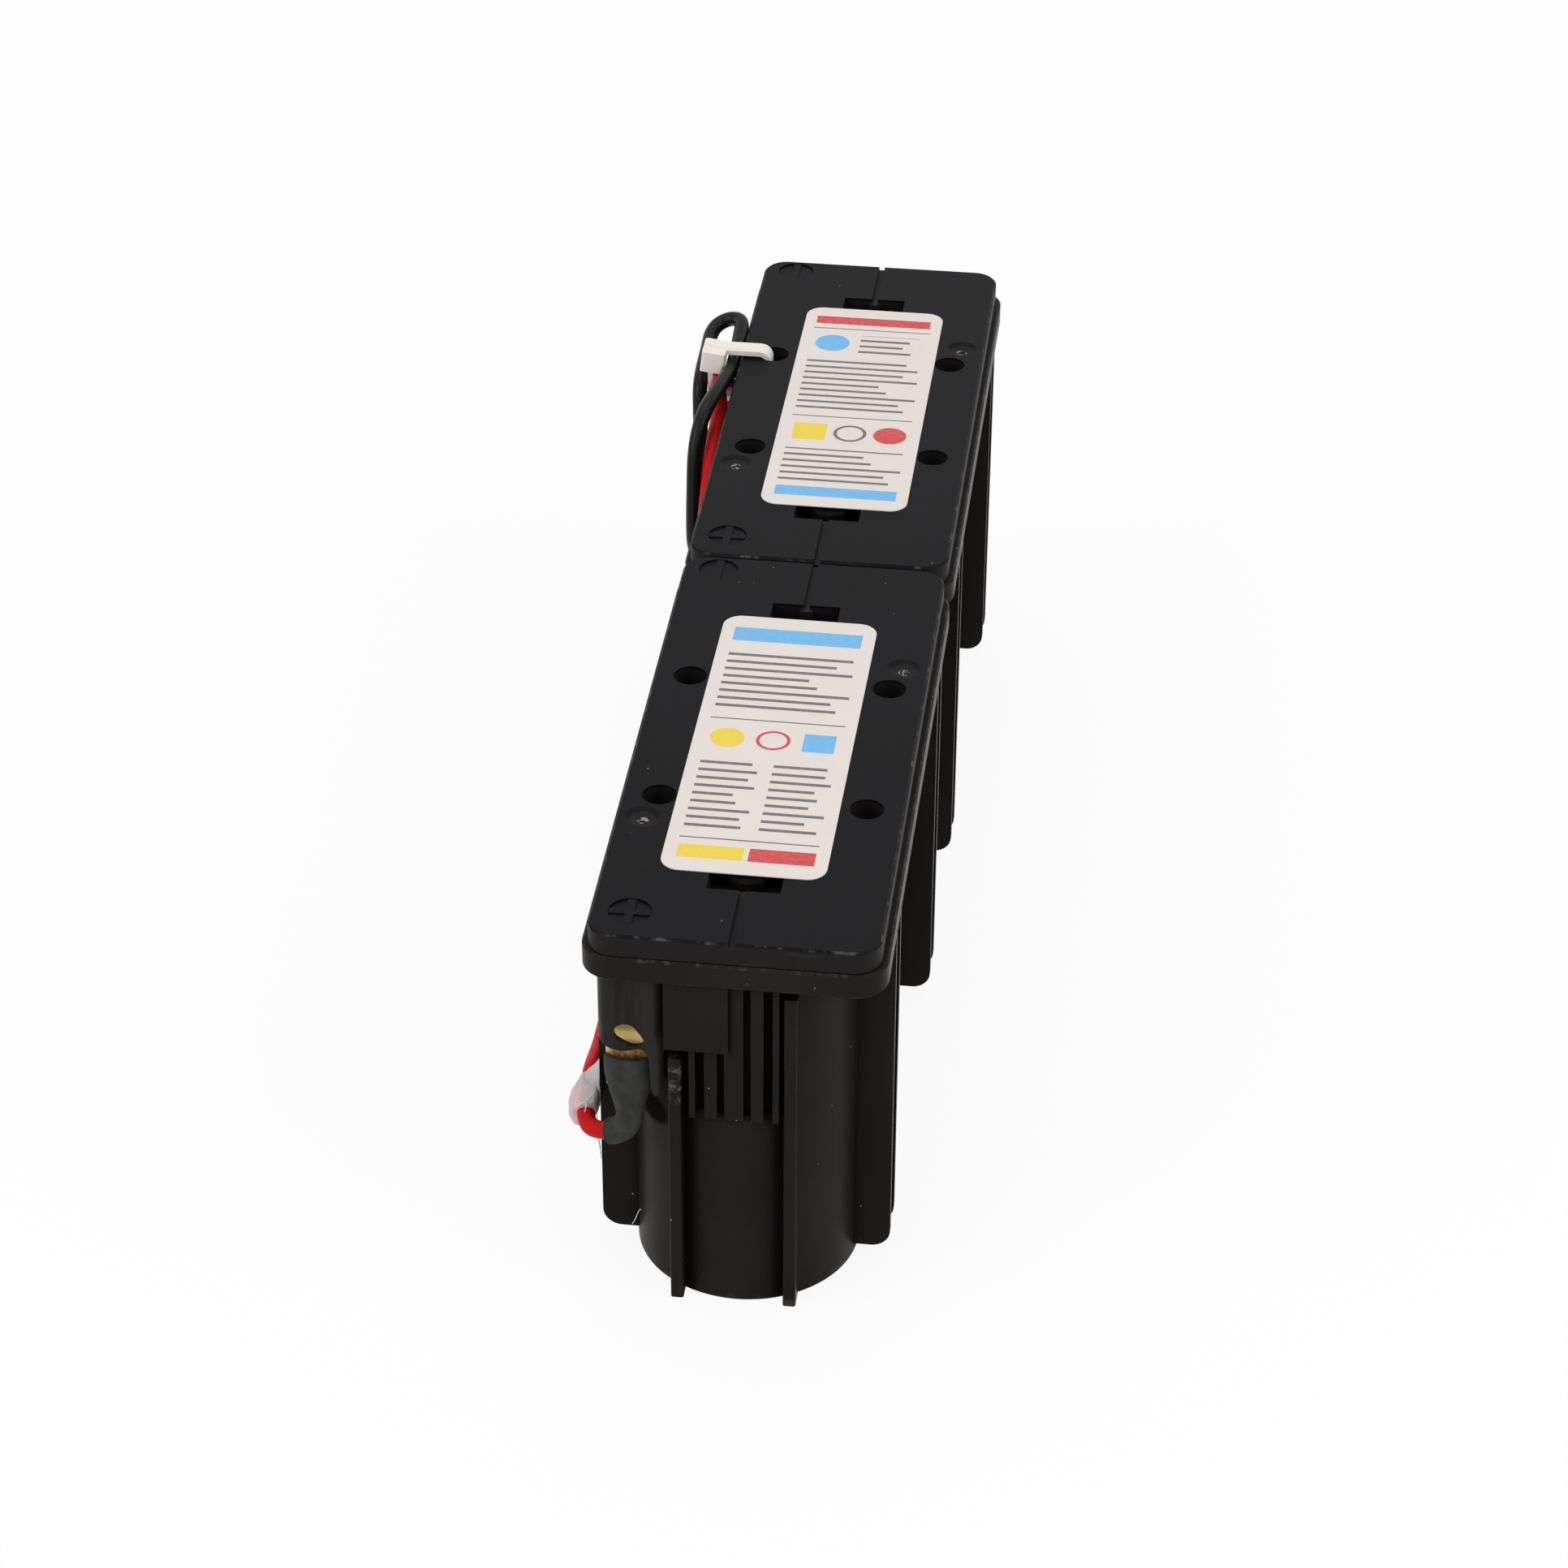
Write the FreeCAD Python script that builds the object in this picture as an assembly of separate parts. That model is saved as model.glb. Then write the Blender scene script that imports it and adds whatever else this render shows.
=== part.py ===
import FreeCAD, Part
import math
import os
from FreeCAD import Vector

# Twelve volt battery pack of two six volt sealed blocks that stand in line.
# Each block is one moulded case with three round cells, a flat welded lid and two hanging tabs.
# Millimetres. Origin at the middle of the base, +X to the right, +Y along the row, +Z up.
# In a block, "near" is its -Y end with the plus terminal and "far" its +Y end with the minus one.

# Cells and case
cell_pitch = 34.0
cell_foot_radius = 17.4
cell_top_radius = 17.5
cell_wall = 1.5
case_floor = 1.8
foot_bevel = 0.3
block_height = 70.0
flange_height = 4.2
flange_end_margin = 2.8
flange_side_margin = 5.2
flange_corner = 5.0
flange_bevel = 0.35
block_gap = 0.1

# Side fins, in pairs on each end cell
fin_spread = 6.0
fin_thickness = 1.3
fin_side_inset = 0.05
fin_foot_gap = 1.7
fin_corner = 3.0

# Ribs and gussets on the block's ends
outer_rib_x = 8.45
terminal_rib_x = 8.95
rib_thickness = 2.0
rib_end_inset = 2.5
rib_round = 0.4
outer_rib_drop = 2.95
terminal_rib_drop = 15.45
gusset_length = 26.2
gusset_widths = {0.0: 2.9, 3.5: 1.9, 6.3: 0.95}
slot_wall = 0.8
slot_foot = 0.8
guard_left = 10.4
guard_right = 0.75
guard_length = 13.2
guard_proud = 0.7
guard_thickness = 1.2

# Lid
lid_height = 3.9
lid_end_step = 0.3
lid_side_step = 1.0
lid_corner = 4.2
lid_top_bevel = 0.4
lid_foot_bevel = 0.25
hole_x = 15.9
hole_radius = 2.68
trough_width = 11.1
trough_end_margin = 13.5
trough_depth = 2.9
groove_width = 1.05
groove_depth = 0.8
spout_reach = 0.8
spout_cheek = 0.55
dish_x = 17.6
dish_from_hole = 6.2
dish_radius = 2.8
dish_depth = 0.8
nib_radius = 0.45
nib_height = 0.7
mark_x = -15.8
mark_radius = 3.25
mark_depth = 0.3
plus_mark_inset = 6.4
minus_mark_inset = 4.1

# Relief valves on the lid's vent nipples
nipple_radius = 2.0
nipple_height = 1.5
vent_radius = 0.8
valve_wall = 1.4
valve_roof = 0.8
valve_bevel = 0.4

# Labels
label_width = 25.0
label_length = 72.2
label_thickness = 0.15
label_corner = 3.0
label_places = {"front": (-0.5, -0.47, -0.45), "rear": (0.67, -0.29, -0.1)}

# Wound cells, posts and straps
roll_clearance = 0.3
roll_core_radius = 2.5
roll_height = 54.2
post_radius = 2.2
strap_x = 8.0
strap_width = 6.0
strap_thickness = 1.0
strap_post_inset = 5.0
strap_post_offset = 6.0
tray_depth = 2.0
tray_clearance = 0.3
terminal_post_x = -9.0
terminal_post_out = 6.0
terminal_pad_half = 3.0

# Terminal tabs
tab_width = 6.35
tab_thickness = 0.8
tab_side_inset = 6.5
tab_end_inset = 5.3
tab_length = 22.9
tab_bend = 1.2
tab_tip_chamfer = 1.2
slot_clearance = 0.1

# Series link between the two middle tabs
link_drop = 6.0
link_length = 10.0
link_bend = 2.0

# Insulating boots on the two lead terminals
boot_x_offset = 0.6
boot_y_offset = 0.7
boot_width = 10.0
boot_depth = 5.2
boot_wall = 0.7
boot_roof = 1.2
boot_length = 14.5
flap_length = 23.0
# The torn edge goes across the boot, with its depth as a share of the flap's length
boot_tear = ((-6.5, 0.535), (-3.6, 0.609), (-0.9, 0.630), (2.1, 0.617), (2.9, 0.717), (3.1, 0.891),
             (3.8, 0.996), (4.7, 0.913), (5.2, 0.761), (6.5, 0.674))
worn_patch = ((-2.3, -11.4), (-1.6, -9.8), (0.0, -9.6), (1.4, -11.0), (2.1, -12.9), (0.9, -13.5),
              (-1.4, -12.6))

# Push-on receptacles, shrink sleeves and leads
receptacle_side = 0.275
receptacle_bulge = 1.1
receptacle_roll = 0.9
receptacle_top_drop = 15.3
receptacle_height = 7.8
sleeve_top_gap = 1.9
sleeve_radius = 2.1
sleeve_sections = ((0.0, 7.3, 3.9), (4.6, 7.1, 4.1), (8.4, 5.3, 4.2))
sleeve_straight = 11.0
sleeve_bend_radius = 5.3
sleeve_bend_angle = 70.0
sleeve_heading = 20.0
lead_first_run = 3.4
red_diameter = 2.8
black_diameter = 2.7
strand_diameter = 1.7
strand_length = 6.0
red_route = ((-23.95, -98.4, 28.0), (-24.15, -94.8, 29.3), (-24.2, -91.0, 30.7), (-24.41, -86.0, 29.3),
             (-24.46, -79.0, 27.4), (-24.45, -66.0, 28.4), (-24.5, -50.0, 31.6), (-24.5, -33.0, 35.2),
             (-24.35, -16.0, 38.6), (-24.25, 4.0, 42.2), (-24.2, 21.0, 45.8), (-24.2, 32.0, 49.0),
             (-24.2, 39.0, 53.0), (-24.15, 43.6, 57.4), (-24.15, 47.4, 60.9), (-24.15, 51.8, 63.1),
             (-24.15, 57.4, 64.0), (-24.4, 61.4, 64.9), (-25.6, 66.0, 65.9), (-25.15, 71.6, 65.1),
             (-25.0, 77.0, 60.8), (-24.8, 79.5, 54.6), (-24.9, 79.0, 47.5))
black_route = ((-24.8, 99.3, 27.5), (-25.7, 95.4, 28.2), (-25.3, 90.0, 30.3), (-24.6, 83.0, 32.6),
               (-24.4, 71.5, 34.6), (-24.9, 58.5, 35.6), (-26.4, 50.4, 38.2), (-27.1, 45.6, 43.6),
               (-27.1, 45.0, 49.6), (-27.05, 45.8, 56.0), (-27.1, 47.2, 61.6), (-26.75, 49.6, 65.4),
               (-25.9, 52.6, 68.1), (-24.95, 57.4, 68.6), (-24.0, 62.6, 68.6), (-23.1, 67.4, 68.2),
               (-23.1, 72.4, 68.1), (-23.1, 78.0, 68.8), (-23.15, 83.9, 69.9), (-26.05, 85.6, 69.2),
               (-28.9, 83.9, 67.8), (-28.95, 77.6, 66.4), (-29.15, 72.4, 65.3), (-29.15, 69.0, 63.6),
               (-28.9, 67.4, 59.8), (-28.8, 67.2, 54.6), (-28.8, 67.4, 48.5))

# Cable tie round the rear block's far left hole, and the glue on the red lead
tie_width = 3.4
tie_thickness = 0.9
tie_hole_offset = 0.7
tie_side_offset = 0.4
tie_lid_gap = 0.4
tie_reach = 4.55
tie_bends = (1.8, 0.9, 2.0)
tie_head = (4.2, 5.6, 3.9)
tie_head_inset = 0.65
tie_head_shift = -1.1
tie_head_rise = 0.3
tie_head_roll = 7.0
tie_head_round = 0.5
glue_ends = ((-25.4, -96.4, 26.9), (-24.6, -92.8, 30.4))
glue_radius = 2.25

# Values that follow from the sizes above
flange_top = block_height - lid_height
flange_bottom = flange_top - flange_height
flange_half_length = cell_pitch + cell_top_radius + flange_end_margin
flange_half_width = cell_top_radius + flange_side_margin
block_offset = flange_half_length + block_gap / 2
cell_bore = cell_foot_radius - cell_wall
cell_places = (-cell_pitch, 0.0, cell_pitch)
tray_floor = flange_top - tray_depth
lid_half_length = flange_half_length - lid_end_step
lid_half_width = flange_half_width - lid_side_step
trough_half_length = lid_half_length - trough_end_margin
trough_floor = block_height - trough_depth
roll_top = case_floor + roll_height
tab_x = -(flange_half_width - tab_side_inset)
tab_out = flange_half_length - tab_end_inset
tab_tip = flange_bottom - tab_length
tie_y = block_offset + cell_pitch / 2 - tie_side_offset
strap_out = cell_pitch - strap_post_inset
straps_y = ((-strap_out, -strap_post_offset), (strap_post_offset, strap_out))


# Shape helpers


def box(x0, x1, y0, y1, z0, z1):
    return Part.makeBox(x1 - x0, y1 - y0, z1 - z0, Vector(x0, y0, z0))


def rod(radius, x, y, z0, z1):
    return Part.makeCylinder(radius, z1 - z0, Vector(x, y, z0))


def rounded_edges(points, radii, closed):
    """Straight edges through the points, with a tangent arc of the given radius at each corner."""
    count = len(points)
    starts, ends, arcs = list(points), list(points), []
    for i in range(count):
        inner = closed or 0 < i < count - 1
        if not inner or radii[i] == 0:
            continue
        here = points[i]
        back = (points[i - 1] - here).normalize()
        ahead = (points[(i + 1) % count] - here).normalize()
        half_turn = (math.pi - back.getAngle(ahead)) / 2
        reach = radii[i] * math.tan(half_turn)
        middle = (back + ahead).normalize()
        depth = radii[i] / math.cos(half_turn) - radii[i]
        ends[i] = here + back * reach
        starts[i] = here + ahead * reach
        arcs.append((i, Part.Arc(ends[i], here + middle * depth, starts[i]).toShape()))
    arcs = dict(arcs)
    edges = []
    for i in range(count if closed else count - 1):
        if i in arcs:
            edges.append(arcs[i])
        after = (i + 1) % count
        if (ends[after] - starts[i]).Length > 1e-6:
            edges.append(Part.LineSegment(starts[i], ends[after]).toShape())
    return edges


def outline(points, radii):
    return Part.Wire(rounded_edges(points, radii, True))


def prism(points, radii, along):
    return Part.Face(outline(points, radii)).extrude(along)


def rounded_plate(half_width, half_length, corner, z0, z1):
    points = [Vector(-half_width, -half_length, z0), Vector(half_width, -half_length, z0),
              Vector(half_width, half_length, z0), Vector(-half_width, half_length, z0)]
    return prism(points, [corner] * 4, Vector(0, 0, z1 - z0))


def bevel_rim(plate, z, size):
    """Breaks the outer edges of a plate's face at height z."""
    edges = [e for e in plate.Edges if abs(e.BoundBox.ZMin - z) < 1e-6 and abs(e.BoundBox.ZMax - z) < 1e-6]
    return plate.makeChamfer(size, edges)


def at_end(shape, end):
    """A shape drawn for the far end, as it is or mirrored to the near end."""
    return shape if end == "far" else shape.mirror(Vector(0, 0, 0), Vector(0, 1, 0))


def fused(shapes):
    return shapes[0].multiFuse(shapes[1:]).removeSplitter()


# Case


def cell_shell(y):
    cone = Part.makeCone(cell_foot_radius, cell_top_radius, flange_bottom + flange_bevel, Vector(0, y, 0))
    return bevel_rim(cone, 0.0, foot_bevel)


def fin_plate(y):
    reach = flange_half_width - fin_side_inset
    top = flange_bottom + flange_bevel
    front = y - fin_thickness / 2
    points = [Vector(-reach, front, fin_foot_gap), Vector(reach, front, fin_foot_gap),
              Vector(reach, front, top), Vector(-reach, front, top)]
    return prism(points, [fin_corner, fin_corner, 0, 0], Vector(0, fin_thickness, 0))


def end_rib(x, top):
    face = flange_half_length - rib_end_inset
    plate = box(x - rib_thickness / 2, x + rib_thickness / 2, cell_pitch, face, 0, top)
    outer = [e for e in plate.Edges if abs(e.BoundBox.YMin - face) < 1e-6 and e.BoundBox.XLength < 1e-6]
    return plate.makeFillet(rib_round, outer)


def gusset_bands():
    places = sorted({side * x for x in gusset_widths for side in (-1, 1)})
    return [(x - gusset_widths[abs(x)] / 2, x + gusset_widths[abs(x)] / 2) for x in places]


def end_gussets():
    face = flange_half_length - rib_end_inset
    low = flange_bottom - gusset_length
    top = flange_bottom + flange_bevel
    return [box(left, right, cell_pitch, face, low, top) for left, right in gusset_bands()]


def end_slots():
    """Cored slots between the ribs and gussets, which leave the cell a thinner wall there."""
    low = flange_bottom - gusset_length + slot_foot
    core = rod(cell_bore + slot_wall, 0, cell_pitch, 0, flange_bottom)
    half = rib_thickness / 2
    bands = [(-terminal_rib_x - half, -terminal_rib_x + half)] + gusset_bands()
    bands += [(outer_rib_x - half, outer_rib_x + half)]
    gaps = [(a[1], b[0]) for a, b in zip(bands, bands[1:]) if b[0] > a[1]]
    slots = []
    for left, right in gaps:
        corner = 0.45 * (right - left)
        points = [Vector(left, cell_pitch, low), Vector(right, cell_pitch, low),
                  Vector(right, cell_pitch, flange_bottom), Vector(left, cell_pitch, flange_bottom)]
        slot = prism(points, [corner, corner, 0, 0], Vector(0, flange_half_length - cell_pitch, 0))
        slots.append(slot.cut(core))
    return slots


def terminal_guard():
    face = flange_half_length - rib_end_inset + guard_proud
    low = flange_bottom - guard_length
    return box(-guard_left, -guard_right, face - guard_thickness, face, low, flange_bottom + flange_bevel)


def end_features():
    outer_rib = end_rib(outer_rib_x, flange_bottom - outer_rib_drop)
    terminal_rib = end_rib(-terminal_rib_x, flange_bottom - terminal_rib_drop)
    return fused([outer_rib, terminal_rib] + end_gussets() + [terminal_guard()])


def terminal_pad(spread):
    """Outline of the terminal's flat part for the far end, grown by a clearance."""
    pad = terminal_pad_half + spread
    half = tab_width / 2 + spread
    post_y = cell_pitch + terminal_post_out
    turn = tab_out - 2 * tab_bend
    points = [(terminal_post_x - pad, post_y - pad), (terminal_post_x + pad, post_y - pad),
              (terminal_post_x + pad, post_y + pad), (tab_x + half, turn + spread),
              (tab_x + half, tab_out + spread), (tab_x - half, tab_out + spread),
              (tab_x - half, turn - spread), (terminal_post_x - pad, post_y - spread)]
    return [Vector(x, y, tray_floor) for x, y in points]


def terminal_pocket():
    pocket = prism(terminal_pad(tray_clearance), [0] * 8, Vector(0, 0, tray_depth))
    half = tab_width / 2 + slot_clearance
    slot_in = tab_out - tab_thickness - slot_clearance
    slot_out = tab_out + slot_clearance
    slot = box(tab_x - half, tab_x + half, slot_in, slot_out, flange_bottom, tray_floor)
    return pocket.fuse(slot)


def strap_channel(y0, y1):
    half = strap_width / 2 + tray_clearance
    reach = strap_width / 2 + tray_clearance
    return box(strap_x - half, strap_x + half, y0 - reach, y1 + reach, tray_floor, flange_top)


def lid_holes(z0, z1):
    return [rod(hole_radius, x, y, z0, z1)
            for x in (-hole_x, hole_x) for y in (-cell_pitch / 2, cell_pitch / 2)]


def case_shape():
    flange = rounded_plate(flange_half_width, flange_half_length, flange_corner, flange_bottom, flange_top)
    flange = bevel_rim(bevel_rim(flange, flange_bottom, flange_bevel), flange_top, flange_bevel)
    fins = [fin_plate(end * cell_pitch + side * fin_spread / 2) for end in (-1, 1) for side in (-1, 1)]
    ends = [at_end(end_features(), end) for end in ("near", "far")]
    slots = [at_end(slot, end) for slot in end_slots() for end in ("near", "far")]
    cells = [cell_shell(y).cut(slots) for y in cell_places]
    body = fused([flange] + cells + fins + ends)
    hollows = [rod(cell_bore, 0, y, case_floor, flange_top) for y in cell_places]
    hollows += [at_end(terminal_pocket(), end) for end in ("near", "far")]
    hollows += [strap_channel(y0, y1) for y0, y1 in straps_y]
    hollows += lid_holes(flange_bottom, flange_top)
    return body.cut(hollows).removeSplitter()


# Lid, valves and label


def vent_groove():
    half = groove_width / 2
    return box(-half, half, trough_half_length, lid_half_length, block_height - groove_depth, block_height)


def vent_spout():
    half = groove_width / 2 + spout_cheek
    return box(-half, half, trough_half_length - spout_reach, trough_half_length, trough_floor,
               block_height - groove_depth)


def dish(x, y):
    ball_radius = (dish_radius ** 2 + dish_depth ** 2) / (2 * dish_depth)
    return Part.makeSphere(ball_radius, Vector(x, y, block_height - dish_depth + ball_radius))


def lid_shape():
    lid = rounded_plate(lid_half_width, lid_half_length, lid_corner, flange_top, block_height)
    lid = bevel_rim(bevel_rim(lid, block_height, lid_top_bevel), flange_top, lid_foot_bevel)
    dish_y = cell_pitch / 2 + dish_from_hole
    dishes = [(dish_x, dish_y), (-dish_x, -dish_y)]
    marks = [lid_half_length - minus_mark_inset, plus_mark_inset - lid_half_length]
    cuts = [box(-trough_width / 2, trough_width / 2, -trough_half_length, trough_half_length, trough_floor,
                block_height)]
    cuts += [at_end(vent_groove(), end) for end in ("near", "far")]
    cuts += [dish(x, y) for x, y in dishes]
    cuts += [rod(mark_radius, mark_x, y, block_height - mark_depth, block_height) for y in marks]
    cuts += lid_holes(flange_top, block_height)
    additions = [at_end(vent_spout(), end) for end in ("near", "far")]
    additions += [rod(nipple_radius, 0, y, trough_floor, trough_floor + nipple_height) for y in cell_places]
    nib_foot = block_height - dish_depth - nib_height / 4
    additions += [Part.makeCone(nib_radius, nib_radius / 3, nib_height, Vector(x, y, nib_foot))
                  for x, y in dishes]
    vents = [rod(vent_radius, 0, y, flange_top, trough_floor + nipple_height) for y in cell_places]
    return fused([lid.cut(cuts)] + additions).cut(vents)


def valve_shape(y):
    radius = nipple_radius + valve_wall
    top = trough_floor + nipple_height + valve_roof
    cap = bevel_rim(rod(radius, 0, y, trough_floor, top), top, valve_bevel)
    return cap.cut(rod(nipple_radius, 0, y, trough_floor, trough_floor + nipple_height))


def label_shape(block):
    x, y, turn = label_places[block]
    label = rounded_plate(label_width / 2, label_length / 2, label_corner, block_height,
                          block_height + label_thickness)
    label.rotate(Vector(0, 0, 0), Vector(0, 0, 1), turn)
    label.translate(Vector(x, y, 0))
    return label


# Wound cells, straps and terminals


def roll_shape(y, posts):
    radius = cell_bore - roll_clearance
    roll = rod(radius, 0, y, case_floor, roll_top).cut(rod(roll_core_radius, 0, y, case_floor, roll_top))
    return fused([roll] + [rod(post_radius, px, py, roll_top, tray_floor) for px, py in posts])


def strap_shape(y0, y1):
    half = strap_width / 2
    points = [Vector(strap_x - half, y0 - half, tray_floor), Vector(strap_x + half, y0 - half, tray_floor),
              Vector(strap_x + half, y1 + half, tray_floor), Vector(strap_x - half, y1 + half, tray_floor)]
    return prism(points, [half * 0.5] * 4, Vector(0, 0, strap_thickness))


def terminal_shape():
    """Flat pad in the tray, bent down through the flange into the hanging tab, for the far end."""
    top = tray_floor + tab_thickness
    inner = tab_out - tab_thickness
    start = tab_out - tab_bend * 2
    half = tab_width / 2
    pad = prism(terminal_pad(0), [0] * 8, Vector(0, 0, tab_thickness))
    bend = [Vector(tab_x - half, y, z) for y, z in (
        (start, top), (tab_out, top), (tab_out, tab_tip), (inner, tab_tip), (inner, tray_floor),
        (start, tray_floor))]
    blade = prism(bend, [0, tab_bend, 0, 0, 0, 0], Vector(tab_width, 0, 0))
    corner = box(tab_x - half, tab_x + half, inner, tab_out, top - tab_bend, top)
    pad = pad.cut(corner)
    tips = []
    for side in (-1, 1):
        edge = tab_x + side * half
        points = [Vector(edge, inner, tab_tip), Vector(edge - side * tab_tip_chamfer, inner, tab_tip),
                  Vector(edge, inner, tab_tip + tab_tip_chamfer)]
        tips.append(prism(points, [0] * 3, Vector(0, tab_thickness, 0)))
    return fused([pad, blade]).cut(tips)


def link_shape():
    """Folded strip between the outer faces of the two middle tabs."""
    face = block_offset - tab_out
    top = flange_bottom - link_drop
    low = top - link_length
    inner = face - tab_thickness
    points = [Vector(tab_x - tab_width / 2, y, z) for y, z in (
        (-face, low), (-face, top), (face, top), (face, low),
        (inner, low), (inner, top - tab_thickness), (-inner, top - tab_thickness), (-inner, low))]
    radii = [0, link_bend, link_bend, 0, 0, link_bend - tab_thickness, link_bend - tab_thickness, 0]
    return prism(points, radii, Vector(tab_width, 0, 0))


# Boots, receptacles and shrink sleeves of the two lead terminals, drawn for the far end


def oval(width, depth, z0, z1):
    """Upright prism with round ends, on the boot's axis."""
    x = tab_x + boot_x_offset
    y = tab_out - tab_thickness / 2 + boot_y_offset
    points = [Vector(x - width / 2, y - depth / 2, z0), Vector(x + width / 2, y - depth / 2, z0),
              Vector(x + width / 2, y + depth / 2, z0), Vector(x - width / 2, y + depth / 2, z0)]
    return prism(points, [depth / 2 * 0.999] * 4, Vector(0, 0, z1 - z0))


def boot_shape(torn):
    length = flap_length if torn else boot_length
    low = flange_bottom - length
    boot = oval(boot_width, boot_depth, low, flange_bottom)
    hollow = oval(boot_width - 2 * boot_wall, boot_depth - 2 * boot_wall, low, flange_bottom - boot_roof)
    half = tab_width / 2
    slit = box(tab_x - half, tab_x + half, tab_out - tab_thickness, tab_out, low, flange_bottom)
    boot = boot.cut([hollow, slit])
    if not torn:
        return boot
    middle = tab_x + boot_x_offset
    behind = tab_out - boot_depth
    edge = Part.BSplineCurve()
    edge.interpolate([Vector(middle + x, behind, flange_bottom - share * flap_length)
                      for x, share in boot_tear])
    ends = [edge.StartPoint, edge.EndPoint]
    floor = [Vector(p.x, behind, low - boot_wall) for p in ends]
    corners = [ends[1], floor[1], floor[0], ends[0]]
    rest = [Part.LineSegment(a, b).toShape() for a, b in zip(corners, corners[1:])]
    tear = Part.Face(Part.Wire([edge.toShape()] + rest)).extrude(Vector(0, 2 * boot_depth, 0))
    patch = Part.BSplineCurve()
    rim = [Vector(middle + x, tab_out, flange_bottom + z) for x, z in worn_patch]
    patch.interpolate(rim, PeriodicFlag=True)
    hole = Part.Face(Part.Wire(patch.toShape())).extrude(Vector(0, boot_depth, 0))
    return boot.cut([tear, hole])


def receptacle_shape():
    """Rolled strip that grips the tab, bulged on its outer side."""
    top = flange_bottom - receptacle_top_drop
    low = top - receptacle_height
    inner = tab_out - tab_thickness
    half = tab_width / 2
    wide = half + receptacle_side
    roll = receptacle_roll
    lip = wide - 2 * roll

    def at(x, y):
        return Vector(tab_x + x, y, low)

    edges = [Part.Arc(at(wide, tab_out), at(0, tab_out + receptacle_bulge), at(-wide, tab_out)).toShape()]
    for side in (-1, 1):
        edges.append(Part.LineSegment(at(side * wide, tab_out), at(side * wide, inner)).toShape())
        edges.append(Part.Arc(at(side * wide, inner), at(side * (wide - roll), inner - roll),
                              at(side * lip, inner)).toShape())
        edges.append(Part.LineSegment(at(side * lip, inner), at(side * half, inner)).toShape())
        edges.append(Part.LineSegment(at(side * half, inner), at(side * half, tab_out)).toShape())
    edges.append(Part.LineSegment(at(-half, tab_out), at(half, tab_out)).toShape())
    profile = Part.Wire(Part.sortEdges(edges)[0])
    return Part.Face(profile).extrude(Vector(0, 0, receptacle_height))


def sleeve_axis():
    return Vector(tab_x, tab_out, flange_bottom - receptacle_top_drop - sleeve_top_gap)


def sleeve_exit():
    """Where the lead leaves the far sleeve, and the way it points there."""
    heading = math.radians(sleeve_heading)
    turn = math.radians(sleeve_bend_angle)
    side = Vector(-math.cos(heading), -math.sin(heading), 0)
    start = sleeve_axis() - Vector(0, 0, sleeve_straight)
    place = start + side * (sleeve_bend_radius * (1 - math.cos(turn)))
    place = place - Vector(0, 0, sleeve_bend_radius * math.sin(turn))
    return place, side * math.sin(turn) - Vector(0, 0, math.cos(turn))


def sleeve_shape():
    """Shrunk sleeve: flat over the receptacle, round over the wire, bent to the side."""
    top = sleeve_axis()
    rings = []
    for drop, width, depth in sleeve_sections:
        middle = top - Vector(0, 0, drop)
        ring = Part.Ellipse(middle + Vector(width / 2, 0, 0), middle + Vector(0, depth / 2, 0), middle)
        rings.append(Part.Wire(ring.toShape()))
    start = top - Vector(0, 0, sleeve_straight)
    circle = Part.Wire(Part.makeCircle(sleeve_radius, start, Vector(0, 0, 1)))
    upper = Part.makeLoft(rings + [circle], True, False)
    heading = math.radians(sleeve_heading)
    side = Vector(-math.cos(heading), -math.sin(heading), 0)
    pivot = start + side * sleeve_bend_radius
    bend = Part.Face(circle).revolve(pivot, side.cross(Vector(0, 0, 1)), sleeve_bend_angle)
    sleeve = upper.fuse(bend)
    return sleeve.cut([receptacle_shape(), terminal_shape()])


# Leads


def lead_points(end, route):
    """Route of a lead: out of its sleeve, then through the hand-laid points."""
    place, way = sleeve_exit()
    if end == "near":
        place = Vector(place.x, -place.y, place.z)
        way = Vector(way.x, -way.y, way.z)
    reach = block_offset if end == "far" else -block_offset
    place = place + Vector(0, reach, 0)
    return [place, place + way * lead_first_run] + [Vector(*p) for p in route]


def lead_shape(name, points, diameter):
    """Tube along straight runs and the largest tangent arcs that the runs allow."""
    radii = [0.0] * len(points)
    for i in range(1, len(points) - 1):
        back = points[i - 1] - points[i]
        ahead = points[i + 1] - points[i]
        half_turn = (math.pi - back.getAngle(ahead)) / 2
        radii[i] = 0.45 * min(back.Length, ahead.Length) / math.tan(half_turn)
    path = Part.Wire(rounded_edges(points, radii, False))
    circle = Part.Wire(Part.makeCircle(diameter / 2, points[0], points[1] - points[0]))
    tube = path.makePipeShell([circle], True, True)
    section = math.pi * diameter ** 2 / 4
    print(name, "length %.1f" % path.Length, "volume share %.4f" % (tube.Volume / (section * path.Length)))
    print(name, "radii", " ".join("%.1f" % r for r in radii[1:-1]))
    return tube


def strand_shape(points):
    """Stripped end of a lead, straight on from its last run."""
    way = (points[-1] - points[-2]).normalize()
    tip = Part.makeCylinder(strand_diameter / 2, strand_length, points[-1], way)
    return tip


# Cable tie and glue


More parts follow.
